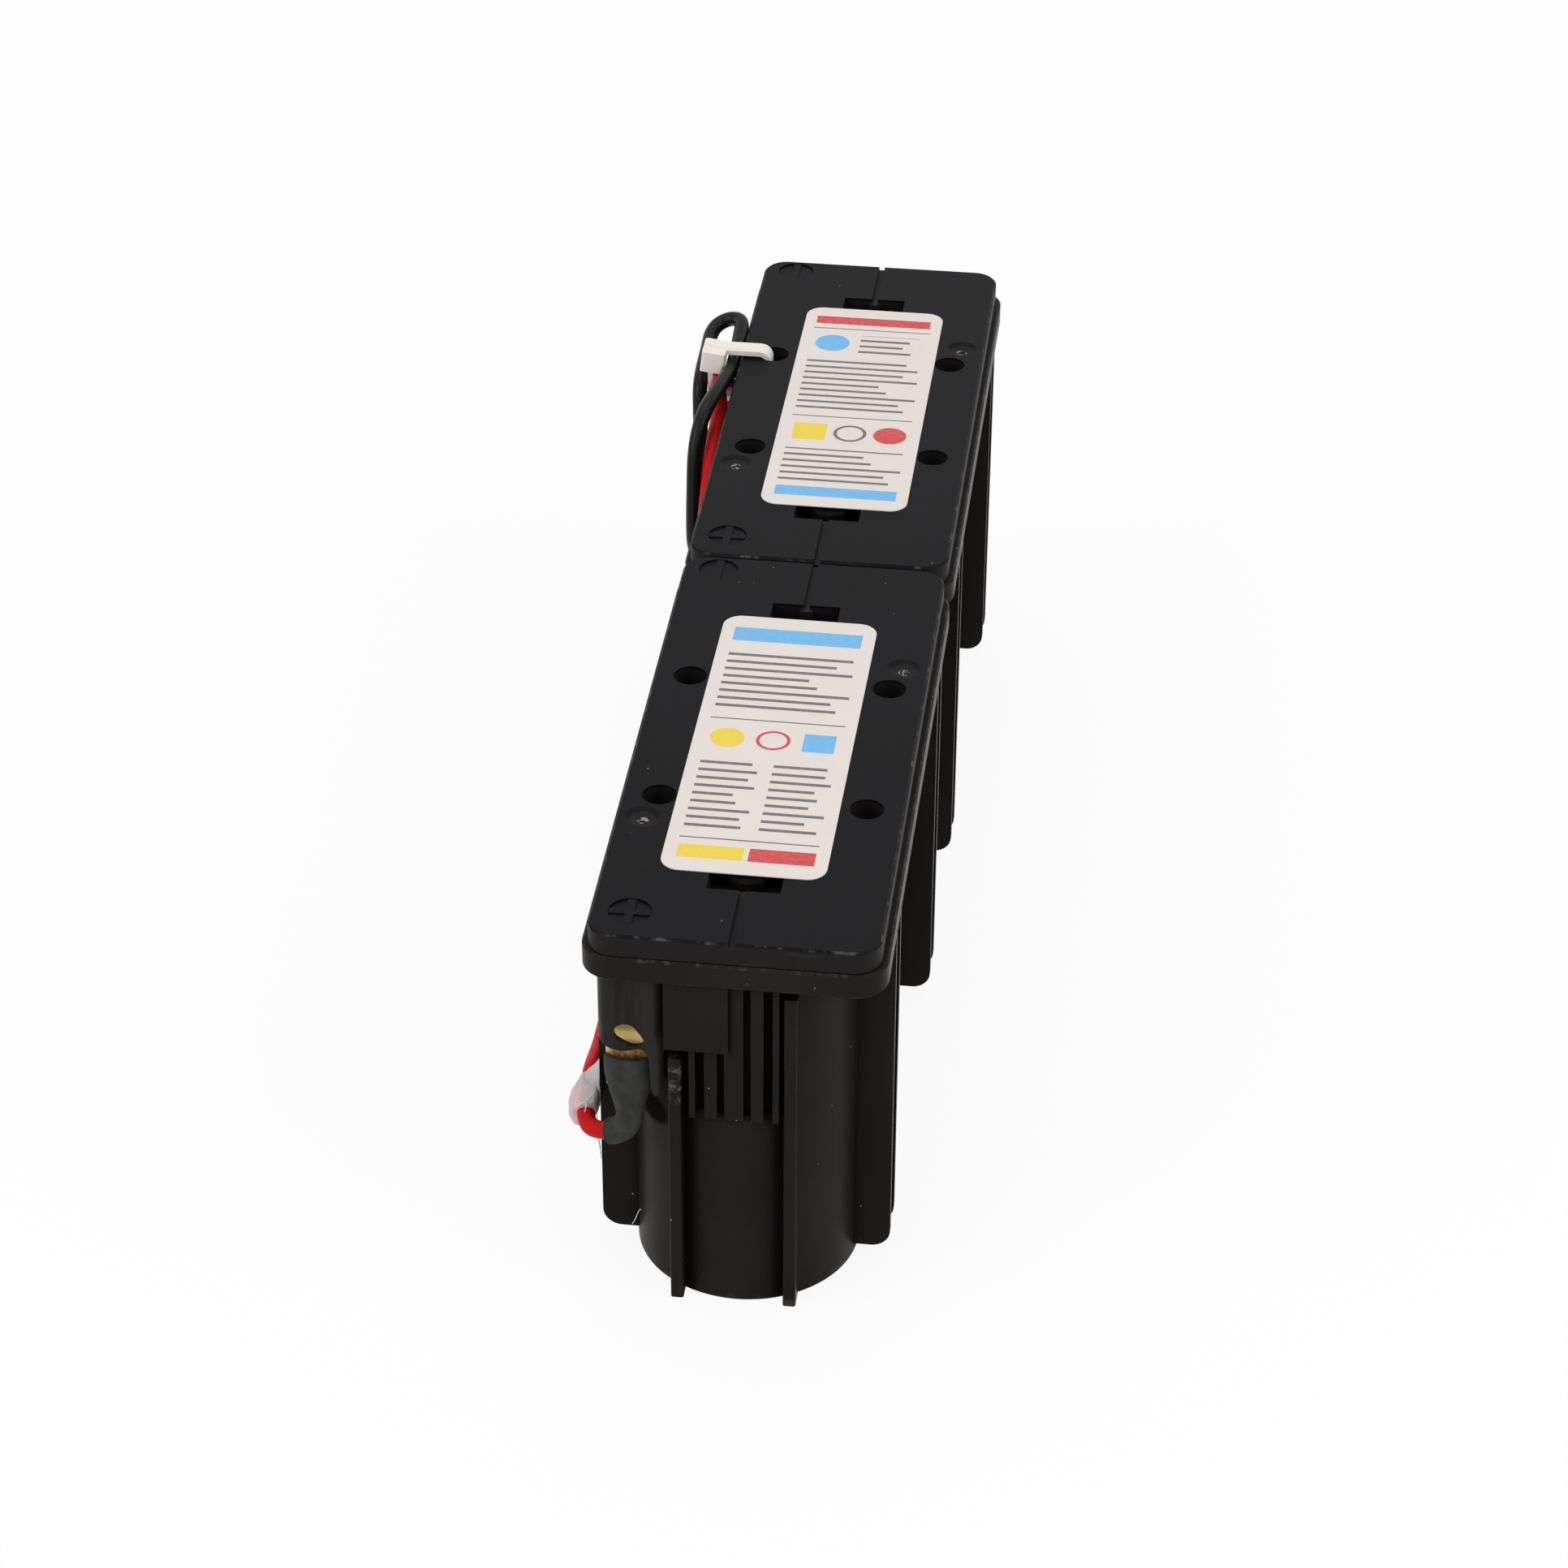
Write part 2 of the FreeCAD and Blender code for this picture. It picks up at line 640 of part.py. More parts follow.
def tie_shape():
    """Strap round the flange's edge and the leads, through the hole, with its ratchet head."""
    half = tie_thickness / 2
    hole = -hole_x - tie_hole_offset
    outer = -(flange_half_width + tie_reach)
    over = block_height + tie_lid_gap + half
    under = flange_bottom - half
    head_x, head_y, head_z = tie_head
    middle = Vector(outer + tie_head_inset, tie_y + tie_head_shift, over + half + tie_head_rise - head_z / 2)
    path = [Vector(middle.x, tie_y, over), Vector(hole, tie_y, over), Vector(hole, tie_y, under),
            Vector(outer, tie_y, under), Vector(outer, tie_y, middle.z)]
    spine = Part.Wire(rounded_edges(path, [0, *tie_bends, 0], False))
    section = [Vector(middle.x, tie_y + y, over + z) for y, z in (
        (-tie_width / 2, -half), (tie_width / 2, -half), (tie_width / 2, half), (-tie_width / 2, half))]
    strap = spine.makePipeShell([outline(section, [0] * 4)], True, False)
    head = Part.makeBox(head_x, head_y, head_z, middle - Vector(head_x, head_y, head_z) / 2)
    head = head.makeFillet(tie_head_round, [e for e in head.Edges if e.BoundBox.ZLength > head_z / 2])
    head.rotate(middle, Vector(0, 1, 0), tie_head_roll)
    return fused([head, strap])


def glue_shape(lead, case):
    """Blob of hot glue that holds the red lead to the fin beside it."""
    low, high = (Vector(*p) for p in glue_ends)
    reach = high - low
    bead = Part.makeCylinder(glue_radius, reach.Length, low, reach)
    ends = [Part.makeSphere(glue_radius, p) for p in (low, high)]
    return fused([bead] + ends).cut([lead, case])


# Assembly


def place(shape, block):
    moved = shape.copy()
    moved.translate(Vector(0, -block_offset if block == "front" else block_offset, 0))
    return moved


def roll_posts(index):
    """Places of the two posts on a cell, in the order of the cells from the near end."""
    near = (terminal_post_x, -cell_pitch - terminal_post_out)
    far = (terminal_post_x, cell_pitch + terminal_post_out)
    straps = [(strap_x, y) for pair in straps_y for y in pair]
    return ([near, straps[0]], [straps[1], straps[2]], [straps[3], far])[index]


def block_parts(block):
    parts = {"case": case_shape(), "lid": lid_shape(), "label": label_shape(block)}
    for index, y in enumerate(cell_places):
        parts["plate_roll_%d" % (index + 1)] = roll_shape(y, roll_posts(index))
        parts["relief_valve_%d" % (index + 1)] = valve_shape(y)
    for index, (y0, y1) in enumerate(straps_y):
        parts["cell_strap_%d" % (index + 1)] = strap_shape(y0, y1)
    parts["plus_terminal"] = at_end(terminal_shape(), "near")
    parts["minus_terminal"] = at_end(terminal_shape(), "far")
    return {"%s_%s" % (block, name): place(shape, block) for name, shape in parts.items()}


def lead_parts(colour, end, route, diameter, torn):
    block = "front" if end == "near" else "rear"
    points = lead_points(end, route)
    return {
        "%s_lead" % colour: lead_shape("%s_lead" % colour, points, diameter),
        "%s_lead_strands" % colour: strand_shape(points),
        "%s_terminal_boot" % colour: place(at_end(boot_shape(torn), end), block),
        "%s_receptacle" % colour: place(at_end(receptacle_shape(), end), block),
        "%s_shrink_sleeve" % colour: place(at_end(sleeve_shape(), end), block),
    }


def all_parts():
    parts = {}
    for block in ("front", "rear"):
        parts.update(block_parts(block))
    parts["series_link"] = link_shape()
    parts.update(lead_parts("red", "near", red_route, red_diameter, True))
    parts.update(lead_parts("black", "far", black_route, black_diameter, False))
    parts["cable_tie"] = tie_shape()
    parts["glue_bead"] = glue_shape(parts["red_lead"], parts["front_case"])
    return parts


os.makedirs("parts", exist_ok=True)
for node, solid in all_parts().items():
    solid.exportStep("parts/%s.step" % node)
    print("%-24s solids %d valid %s volume %.1f" % (node, len(solid.Solids), solid.isValid(), solid.Volume))
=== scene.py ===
import math

import bmesh
import bpy
from mathutils import Matrix, Vector, geometry, noise


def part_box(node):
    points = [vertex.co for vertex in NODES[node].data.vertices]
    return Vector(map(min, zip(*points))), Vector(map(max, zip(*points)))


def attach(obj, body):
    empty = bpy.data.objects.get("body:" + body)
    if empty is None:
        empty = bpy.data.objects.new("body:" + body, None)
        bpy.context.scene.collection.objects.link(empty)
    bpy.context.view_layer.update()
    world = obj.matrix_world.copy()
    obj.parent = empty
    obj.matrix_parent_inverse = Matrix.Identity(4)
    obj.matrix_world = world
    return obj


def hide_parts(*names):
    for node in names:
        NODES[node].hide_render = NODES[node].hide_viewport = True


# Looks of a twelve volt battery pack: two sealed blocks in line, with tied flying leads.
# The frame is in metres with +Z up; sizes written here in millimetres go through mm().

bl_info = {
    "name": "Sealed battery pack",
    "version": (1, 0, 0),
    "blender": (4, 5, 0),
    "location": "3D View > Sidebar > Battery",
    "description": "Finishes, leads and stage for a pack of two sealed lead-acid blocks",
    "category": "Object",
}

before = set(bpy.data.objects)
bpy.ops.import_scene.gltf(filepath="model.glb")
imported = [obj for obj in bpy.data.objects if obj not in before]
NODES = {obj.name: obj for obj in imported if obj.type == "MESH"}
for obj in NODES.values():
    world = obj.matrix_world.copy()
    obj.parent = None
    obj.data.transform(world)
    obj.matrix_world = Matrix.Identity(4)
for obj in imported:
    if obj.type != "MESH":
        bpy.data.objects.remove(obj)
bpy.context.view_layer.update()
BLOCKS = ("front", "rear")


def mm(*values):
    """Millimetres to metres, one number or a point."""
    scaled = tuple(v / 1000 for v in values)
    return scaled[0] if len(scaled) == 1 else scaled


def middle(node):
    low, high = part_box(node)
    return (low + high) / 2


def tinted(colour, share):
    """A colour made darker or lighter by a share."""
    return tuple(min(c * share, 1) for c in colour)


# Routes of the two leads, in millimetres, out of the sleeves and along the left side
RED_ROUTE = (
    (-19.477, -102.157, 28.72), (-22.480, -101.064, 27.557),
    (-23.95, -98.4, 28.0), (-24.15, -94.8, 29.3), (-24.2, -91.0, 30.7), (-24.41, -86.0, 29.3),
    (-24.46, -79.0, 27.4), (-24.45, -66.0, 28.4), (-24.5, -50.0, 31.6), (-24.5, -33.0, 35.2),
    (-24.35, -16.0, 38.6), (-24.25, 4.0, 42.2), (-24.2, 21.0, 45.8), (-24.2, 32.0, 49.0),
    (-24.2, 39.0, 53.0), (-24.15, 43.6, 57.4), (-24.15, 47.4, 60.9), (-24.15, 51.8, 63.1),
    (-24.15, 57.4, 64.0), (-24.4, 61.4, 64.9), (-25.6, 66.0, 65.9), (-25.15, 71.6, 65.1),
    (-25.0, 77.0, 60.8), (-24.8, 79.5, 54.6), (-24.9, 79.0, 47.5),
)
BLACK_ROUTE = (
    (-19.477, 102.157, 28.72), (-22.480, 101.064, 27.557),
    (-24.8, 99.3, 27.5), (-25.7, 95.4, 28.2), (-25.3, 90.0, 30.3), (-24.6, 83.0, 32.6),
    (-24.4, 71.5, 34.6), (-24.9, 58.5, 35.6), (-26.4, 50.4, 38.2), (-27.1, 45.6, 43.6),
    (-27.1, 45.0, 49.6), (-27.05, 45.8, 56.0), (-27.1, 47.2, 61.6), (-26.75, 49.6, 65.4),
    (-25.9, 52.6, 68.1), (-24.95, 57.4, 68.6), (-24.0, 62.6, 68.6), (-23.1, 67.4, 68.2),
    (-23.1, 72.4, 68.1), (-23.1, 78.0, 68.8), (-23.15, 83.9, 69.9), (-26.05, 85.6, 69.2),
    (-28.9, 83.9, 67.8), (-28.95, 77.6, 66.4), (-29.15, 72.4, 65.3), (-29.15, 69.0, 63.6),
    (-28.9, 67.4, 59.8), (-28.8, 67.2, 54.6), (-28.8, 67.4, 48.5),
)

# Hot glue on the red lead, in millimetres: middles and radii of its lobes, and the strings drawn from it
GLUE_BEAD = (
    (-22.3, -92.6, 30.3, 3.0), (-22.9, -92.9, 30.0, 3.0), (-23.8, -93.5, 29.2, 2.75),
    (-24.6, -94.4, 28.6, 2.45), (-25.1, -95.5, 28.1, 2.05), (-25.35, -96.6, 27.4, 1.5),
    (-25.2, -97.3, 26.6, 1.05), (-24.6, -97.9, 25.7, 0.6),
)
GLUE_COLLAR = (
    (-24.2, -91.8, 30.3, 1.5), (-24.18, -93.4, 29.8, 1.9), (-24.15, -95.2, 29.15, 2.05),
    (-24.1, -96.7, 28.6, 2.0), (-24.05, -97.8, 28.2, 1.8),
)
GLUE_STRINGS = (
    ((-23.5, -93.4, 27.4), (-23.2, -92.8, 24.6), (-23.1, -92.3, 22.0), (-23.2, -92.2, 19.4),
     (-22.95, -92.1, 17.6), (-22.76, -92.05, 15.6)),
    ((-22.98, -92.1, 18.4), (-22.85, -92.05, 16.6), (-22.75, -92.03, 14.8)),
    ((-25.25, -98.1, 29.5), (-24.7, -98.4, 30.4), (-23.9, -98.1, 30.65), (-23.1, -96.9, 31.05)),
    ((-24.1, -98.1, 30.6), (-23.65, -98.5, 30.65), (-23.75, -98.9, 30.1), (-23.85, -99.1, 29.45)),
    ((-16.2, -94.9, 7.6), (-16.7, -94.2, 6.6), (-17.2, -93.2, 4.4), (-18.0, -92.2, 2.2)),
)

# Middle of a block along the row, in millimetres from the joint of the two blocks
BLOCK_MIDDLE = -middle("front_case").y * 1000

# Sizes and colours that a user would change


class PackSizes(bpy.types.PropertyGroup):
    """Sizes of what is added to the solids."""

    red_diameter: bpy.props.FloatProperty(
        name="Red lead", description="Diameter of the red lead", default=mm(2.8), unit="LENGTH")
    black_diameter: bpy.props.FloatProperty(
        name="Black lead", description="Diameter of the black lead", default=mm(2.7), unit="LENGTH")
    red_length: bpy.props.FloatProperty(
        name="Red length", description="Length of the red lead", default=0.2046, unit="LENGTH")
    black_length: bpy.props.FloatProperty(
        name="Black length", description="Length of the black lead", default=0.1590, unit="LENGTH")
    strand: bpy.props.FloatProperty(
        name="Strand", description="Diameter of one wire strand", default=mm(0.54), unit="LENGTH")
    bar_width: bpy.props.FloatProperty(
        name="Polarity bar", description="Width of the raised polarity bars",
        default=mm(1.4), unit="LENGTH")
    string_width: bpy.props.FloatProperty(
        name="Glue string", description="Diameter of the thin glue strings",
        default=mm(0.16), unit="LENGTH")


class PackColours(bpy.types.PropertyGroup):
    """Colours of the pack's finishes."""

    case: bpy.props.FloatVectorProperty(
        name="Case", description="Moulded case", default=(0.0167, 0.0143, 0.0134), subtype="COLOR")
    # The lid colour's bluish tint is painted reflection.
    lid: bpy.props.FloatVectorProperty(
        name="Lid", description="Satin lid", default=(0.0032, 0.0031, 0.0042), subtype="COLOR")
    label: bpy.props.FloatVectorProperty(
        name="Label", description="Label film", default=(0.760, 0.700, 0.655), subtype="COLOR")
    ink: bpy.props.FloatVectorProperty(
        name="Ink", description="Grey print on the labels", default=(0.12, 0.115, 0.115), subtype="COLOR")
    blue: bpy.props.FloatVectorProperty(
        name="Blue field", description="Blue field on the labels",
        default=(0.13, 0.45, 0.80), subtype="COLOR")
    yellow: bpy.props.FloatVectorProperty(
        name="Yellow field", description="Yellow field on the labels",
        default=(0.82, 0.62, 0.03), subtype="COLOR")
    crimson: bpy.props.FloatVectorProperty(
        name="Red field", description="Red field on the labels",
        default=(0.60, 0.03, 0.035), subtype="COLOR")
    red: bpy.props.FloatVectorProperty(
        name="Red lead", description="Red insulation", default=(0.55, 0.009, 0.011), subtype="COLOR")
    black: bpy.props.FloatVectorProperty(
        name="Black lead", description="Black insulation", default=(0.009, 0.009, 0.0095), subtype="COLOR")
    brass: bpy.props.FloatVectorProperty(
        name="Brass", description="Stamped brass", default=(0.73, 0.53, 0.18), subtype="COLOR")
    nylon: bpy.props.FloatVectorProperty(
        name="Nylon", description="Natural nylon", default=(0.84, 0.79, 0.72), subtype="COLOR")
    glue: bpy.props.FloatVectorProperty(
        name="Glue", description="Hot glue over the red lead", default=(0.77, 0.52, 0.50), subtype="COLOR")
    clear_glue: bpy.props.FloatVectorProperty(
        name="Clear glue", description="Hot glue beside the lead",
        default=(0.52, 0.475, 0.475), subtype="COLOR")


class StageLook(bpy.types.PropertyGroup):
    """Floor, lamps and camera."""

    floor: bpy.props.FloatVectorProperty(
        name="Floor", description="Pale floor", default=(0.90, 0.90, 0.90), subtype="COLOR")
    backdrop_share: bpy.props.FloatProperty(
        name="Backdrop share", description="How far the floor fades into the white backdrop", default=0.9,
        subtype="FACTOR")
    ambient: bpy.props.FloatProperty(
        name="Ambient", description="Strength of the light from all round", default=0.42)
    top_power: bpy.props.FloatProperty(
        name="Top lamp", description="Power of the lamp above", default=7.9, unit="POWER")
    side_power: bpy.props.FloatProperty(
        name="Side lamps", description="Power of each side lamp", default=7.3, unit="POWER")
    lens: bpy.props.FloatProperty(
        name="Lens", description="Focal length on a 36 mm sensor", default=95.94)
    azimuth: bpy.props.FloatProperty(
        name="Azimuth", description="Camera to the right of the front",
        default=math.radians(6.762), subtype="ANGLE")
    elevation: bpy.props.FloatProperty(
        name="Elevation", description="Camera above the horizon",
        default=math.radians(34.024), subtype="ANGLE")
    roll: bpy.props.FloatProperty(
        name="Roll", description="Camera roll", default=math.radians(0.274), subtype="ANGLE")
    camera: bpy.props.FloatVectorProperty(
        name="Camera place", description="Where the camera stands", default=mm(64.98, -592.37, 427.76),
        subtype="TRANSLATION", unit="LENGTH")


# Shader maths


class Amount:
    """A number that varies over a surface, so that shader maths reads as plain Python."""

    def __init__(self, finish, socket):
        self.finish = finish
        self.socket = socket

    def __add__(self, other):
        return self.finish.maths("ADD", self, other)

    def __radd__(self, other):
        return self.finish.maths("ADD", other, self)

    def __sub__(self, other):
        return self.finish.maths("SUBTRACT", self, other)

    def __rsub__(self, other):
        return self.finish.maths("SUBTRACT", other, self)

    def __mul__(self, other):
        return self.finish.maths("MULTIPLY", self, other)

    def __rmul__(self, other):
        return self.finish.maths("MULTIPLY", other, self)

    def __truediv__(self, other):
        return self.finish.maths("DIVIDE", self, other)

    def __rtruediv__(self, other):
        return self.finish.maths("DIVIDE", other, self)

    def __lt__(self, other):
        return self.finish.maths("LESS_THAN", self, other)

    def __gt__(self, other):
        return self.finish.maths("GREATER_THAN", self, other)

    def __abs__(self):
        return self.finish.maths("ABSOLUTE", self)

    def whole(self):
        return self.finish.maths("FLOOR", self)

    def part(self):
        return self.finish.maths("FRACT", self)

    def wave(self):
        return self.finish.maths("SINE", self)

    def root(self):
        return self.finish.maths("SQRT", self)

    def ease(self, low, high):
        """0 below low, 1 above high and smooth between."""
        node = self.finish.node(
            "ShaderNodeMapRange", {"interpolation_type": "SMOOTHSTEP"},
            {"Value": self, "From Min": low, "From Max": high})
        return Amount(self.finish, node.outputs["Result"])


class Finish:
    """One procedural material or the world; every node in it comes from the method node()."""

    def __init__(self, name, world=False):
        self.owner = (bpy.data.worlds if world else bpy.data.materials).new(name)
        self.owner.use_nodes = True
        self.tree = self.owner.node_tree
        self.tree.nodes.clear()
        self.end = self.node("ShaderNodeOutputWorld" if world else "ShaderNodeOutputMaterial")
        place = self.node("ShaderNodeTexCoord")
        self.point = self.node(
            "ShaderNodeVectorMath", {"operation": "SCALE"},
            {0: place.outputs["Object"], "Scale": 1000.0}).outputs[0]
        self.inside = place.outputs["Generated"]

    def node(self, kind, settings=None, inputs=None):
        """A node with its settings made first and then its sockets."""
        made = self.tree.nodes.new(kind)
        for name, value in (settings or {}).items():
            setattr(made, name, value)
        for name, value in (inputs or {}).items():
            self.feed(made.inputs[name], value)
        return made

    def feed(self, socket, value):
        if isinstance(value, Amount):
            value = value.socket
        if isinstance(value, bpy.types.NodeSocket):
            self.tree.links.new(value, socket)
        elif socket.type == "RGBA":
            socket.default_value = (*value, 1.0)
        else:
            socket.default_value = value

    def maths(self, operation, *values):
        node = self.node("ShaderNodeMath", {"operation": operation}, dict(enumerate(values)))
        return Amount(self, node.outputs[0])

    def split(self, vector):
        node = self.node("ShaderNodeSeparateXYZ", None, {0: vector})
        return [Amount(self, s) for s in node.outputs]

    def stretched(self, x, y, z):
        """The place on the object in millimetres, scaled along each axis."""
        node = self.node("ShaderNodeVectorMath", {"operation": "MULTIPLY"}, {0: self.point, 1: (x, y, z)})
        return node.outputs[0]

    def grain(self, scale, detail=2.0, roughness=0.5, vector=None):
        """Soft noise, with its scale per millimetre."""
        node = self.node(
            "ShaderNodeTexNoise", None,
            {"Vector": vector or self.point, "Scale": scale, "Detail": detail, "Roughness": roughness})
        return Amount(self, node.outputs["Fac"])

    def specks(self, scale, share, size):
        """Scattered small dots: a share of the cells of a random pattern holds one."""
        node = self.node("ShaderNodeTexVoronoi", None, {"Vector": self.point, "Scale": scale})
        chance = self.node("ShaderNodeSeparateColor", None, {0: node.outputs["Color"]})
        pick = Amount(self, chance.outputs[0]) < share
        reach = Amount(self, chance.outputs[1]) * size
        return pick * (Amount(self, node.outputs["Distance"]) < reach)

    def hollow(self, reach):
        """1 deep in the corners of a piece and 0 on its open faces; reach in millimetres."""
        node = self.node(
            "ShaderNodeAmbientOcclusion", {"samples": 8, "only_local": True}, {"Distance": mm(reach)})
        return 1 - Amount(self, node.outputs["AO"])

    def mix(self, share, first, second):
        """Colour between two colours."""
        node = self.node("ShaderNodeMix", {"data_type": "RGBA"}, {0: share, 6: first, 7: second})
        return node.outputs[2]

    def relief(self, height, strength, distance):
        """Normal of a surface raised by a height; distance in millimetres."""
        node = self.node(
            "ShaderNodeBump", None, {"Strength": strength, "Distance": mm(distance), "Height": height})
        return node.outputs["Normal"]

    def surface(self, **sockets):
        names = {name.replace(" ", "_").lower(): name for name in (
            "Base Color", "Metallic", "Roughness", "IOR", "Normal", "Specular IOR Level",
            "Subsurface Weight", "Subsurface Scale", "Transmission Weight")}
        node = self.node("ShaderNodeBsdfPrincipled", None, {names[k]: v for k, v in sockets.items()})
        self.tree.links.new(node.outputs[0], self.end.inputs["Surface"])
        return self.owner


# Finishes


def spot(axes, place, reaches, core, edge):
    """1 within the core of an oval spot and 0 past its edge; place and reaches in millimetres."""
    shares = [(axis - centre) / reach for axis, centre, reach in zip(axes, place, reaches)]
    return 1 - sum(share * share for share in shares).ease(core, edge)


def block_rim(f, x, y, half_width, half_length):
    """1 at the outer sides of both blocks; half sizes in millimetres."""
    return f.maths("MAXIMUM", abs(x) > half_width, abs(abs(y) - BLOCK_MIDDLE) > half_length)


def case_edge_wear_and_highlight(f, x, y, z):
    """Lighter broken lines along the flange's two edges, worn and with painted highlight, and worn
    stretches round the case's foot.
    """
    flange_height, width = 4.2, 0.2
    half_width, half_length = 22.2, 53.75
    foot_low, foot_high = 0.4, 1.7
    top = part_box("front_case")[1].z * 1000
    upper = abs(z - top + width) < width
    lower = abs(z - (top - flange_height) - width) < width
    flange = f.maths("MAXIMUM", upper, lower) * block_rim(f, x, y, half_width, half_length)
    foot = 1 - z.ease(foot_low, foot_high)
    return f.maths("MAXIMUM", flange, foot) * f.grain(0.35, 4.0, 0.7).ease(0.48, 0.66)


def painted_corner_shade(f, x, z):
    """Painted shade in the corners: weak just outside the end ribs, wide between them below the terminal
    rib's top.
    """
    rib, flank, rib_top, reach = 8.6, 14.0, 46.0, 12.0
    hollow = f.hollow(reach)
    outside = (abs(x) > rib) * (abs(x) < flank)
    between = (abs(x) < rib) * (z < rib_top)
    narrow = hollow.ease(0.10, 0.45) * (1 - 0.85 * outside)
    wide = hollow.ease(0.04, 0.22) * between
    return f.maths("MAXIMUM", narrow, wide)


def moulded_case(colours):
    """Semi-gloss black moulding with draw marks, dust, a smear, worn edges with painted highlight, and
    painted shade in the corners and over a hollow.
    """
    f = Finish("moulded_case")
    x, y, z = f.split(f.point)
    cloud = f.grain(0.05, 3.0)
    draw = f.grain(1.0, 3.0, 0.6, f.stretched(1.6, 1.6, 0.05))
    orange_peel = f.grain(3.2, 2.0)
    dust = f.specks(0.50, 0.20, 0.075)
    # Painted shade: the base colour darkens in the corners beside and between the ribs, by an occlusion
    # measure.
    corner = painted_corner_shade(f, x, z)
    smear_place, smear_reach = (-8.8, -106.2, 42.5), (2.2, 3.0, 5.0)
    # Painted shade: a dark brown patch where a shadowed hollow lies under the boot's flap.
    hollow_shade_place, hollow_shade_reach, end_wall = (-13.4, 32.2), (3.5, 3.0), -97
    smear = spot((x, y, z), smear_place, smear_reach, 0.3, 1.0)
    smear = smear * f.grain(0.9, 4.0, 0.65).ease(0.45, 0.72)
    painted_hollow_shade = spot((x, z), hollow_shade_place, hollow_shade_reach, 0.35, 1.05) * (y < end_wall) * (1 - smear)
    base = f.mix(cloud.ease(0.3, 0.7), tinted(colours.case, 0.9), tinted(colours.case, 1.15))
    # Painted shade in the corners.
    base = f.mix(corner * 0.85, base, tinted(colours.case, 0.15))
    # Lighter broken lines: wear with painted highlight on the flange's edges, and wear round the foot.
    base = f.mix(case_edge_wear_and_highlight(f, x, y, z) * 0.35, base, (0.13, 0.12, 0.115))
    base = f.mix(smear * 0.55, base, (0.20, 0.19, 0.175))
    # Painted shade over the hollow under the boot's flap.
    base = f.mix(painted_hollow_shade * 0.9, base, (0.004, 0.0008, 0.0007))
    base = f.mix(dust * 0.55, base, (0.45, 0.44, 0.42))
    rough = 0.26 + 0.10 * cloud + 0.08 * draw + 0.3 * dust + 0.25 * smear + 0.5 * painted_hollow_shade + 0.4 * corner
    height = orange_peel * 0.5 + draw * 0.6 + dust * 1.5
    return f.surface(base_color=base, roughness=rough, specular_ior_level=0.035,
                     normal=f.relief(height, 0.12, 0.08))


def satin_lid(colours):
    """Satin lid with a fine grain, hairline scuffs, worn edges and broken gate nibs with painted
    highlights, a bluish painted reflection and a little dust.
    """
    f = Finish("satin_lid")
    x, y, z = f.split(f.point)
    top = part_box("front_lid")[1].z * 1000
    half_width, half_length = 21.2, 53.5
    gate_out, gate_along, torn_radius = 17.6, 23.2, math.sqrt(0.8)
    rim = block_rim(f, x, y, half_width, half_length)
    # Painted highlight with wear: broken lighter lines on the bevel round the lid's top.
    rubbed_and_highlit = rim * (z > top - 0.36) * (z < top - 0.03) * f.grain(0.35, 4.0, 0.7).ease(0.50, 0.68)
    nib = in_disc(abs(x), abs(abs(y) - BLOCK_MIDDLE), gate_out, gate_along, torn_radius)
    # Torn plastic at the gate nibs, whitened also as a painted glint.
    torn_and_glinting = nib * (z < top - 0.05) * f.grain(1.3, 3.0).ease(0.48, 0.60)
    cloud = f.grain(0.06, 3.0)
    fine = f.grain(5.5, 3.0, 0.6)
    scuff = f.grain(1.0, 4.0, 0.7, f.stretched(0.09, 2.6, 0.6)).ease(0.62, 0.72)
    dust = f.specks(0.42, 0.16, 0.07)
    base = f.mix(cloud.ease(0.3, 0.7), tinted(colours.lid, 0.9), tinted(colours.lid, 1.25))
    # Painted reflection: the bluish lid colour stays on the top, while the sides take the case's colour.
    base = f.mix((z < top - 0.4) * 0.7, base, tuple(colours.case))
    base = f.mix(scuff * 0.10, base, (0.10, 0.10, 0.10))
    # Painted highlight along the worn top edges.
    base = f.mix(rubbed_and_highlit * 0.5, base, (0.13, 0.125, 0.12))
    # Painted glint on the torn gate nibs.
    base = f.mix(torn_and_glinting * 0.8, base, (0.45, 0.44, 0.43))
    base = f.mix(dust * 0.45, base, (0.42, 0.42, 0.41))
    rough = 0.40 + 0.10 * cloud + 0.06 * fine + 0.06 * scuff + 0.3 * dust
    return f.surface(base_color=base, roughness=rough, specular_ior_level=0.075,
                     normal=f.relief(fine * 0.7 + dust * 1.4, 0.16, 0.07))


def in_field(across, along, x, y, half_x, half_y):
    return (abs(across - x) < half_x) * (abs(along - y) < half_y)


def in_disc(across, along, x, y, radius):
    off_x = across - x
    off_y = along - y
    return (off_x * off_x + off_y * off_y) < radius * radius


def in_ring(across, along, x, y, radius, band):
    return in_disc(across, along, x, y, radius) - in_disc(across, along, x, y, radius - band)


def in_lines(across, along, left, right, low, high, pitch, weight):
    """Plain bars of uneven length, one under the other."""
    step = (along - low) / pitch
    row = step.whole()
    spread, scatter, most_cut = 12.9898, 437.585, 0.35
    chance = ((row * spread + left).wave() * scatter).part()
    short = chance * (most_cut * (right - left))
    within = (along > low) * (along < high) * (across > left) * (across < right - short)
    return within * ((step - row) < weight)


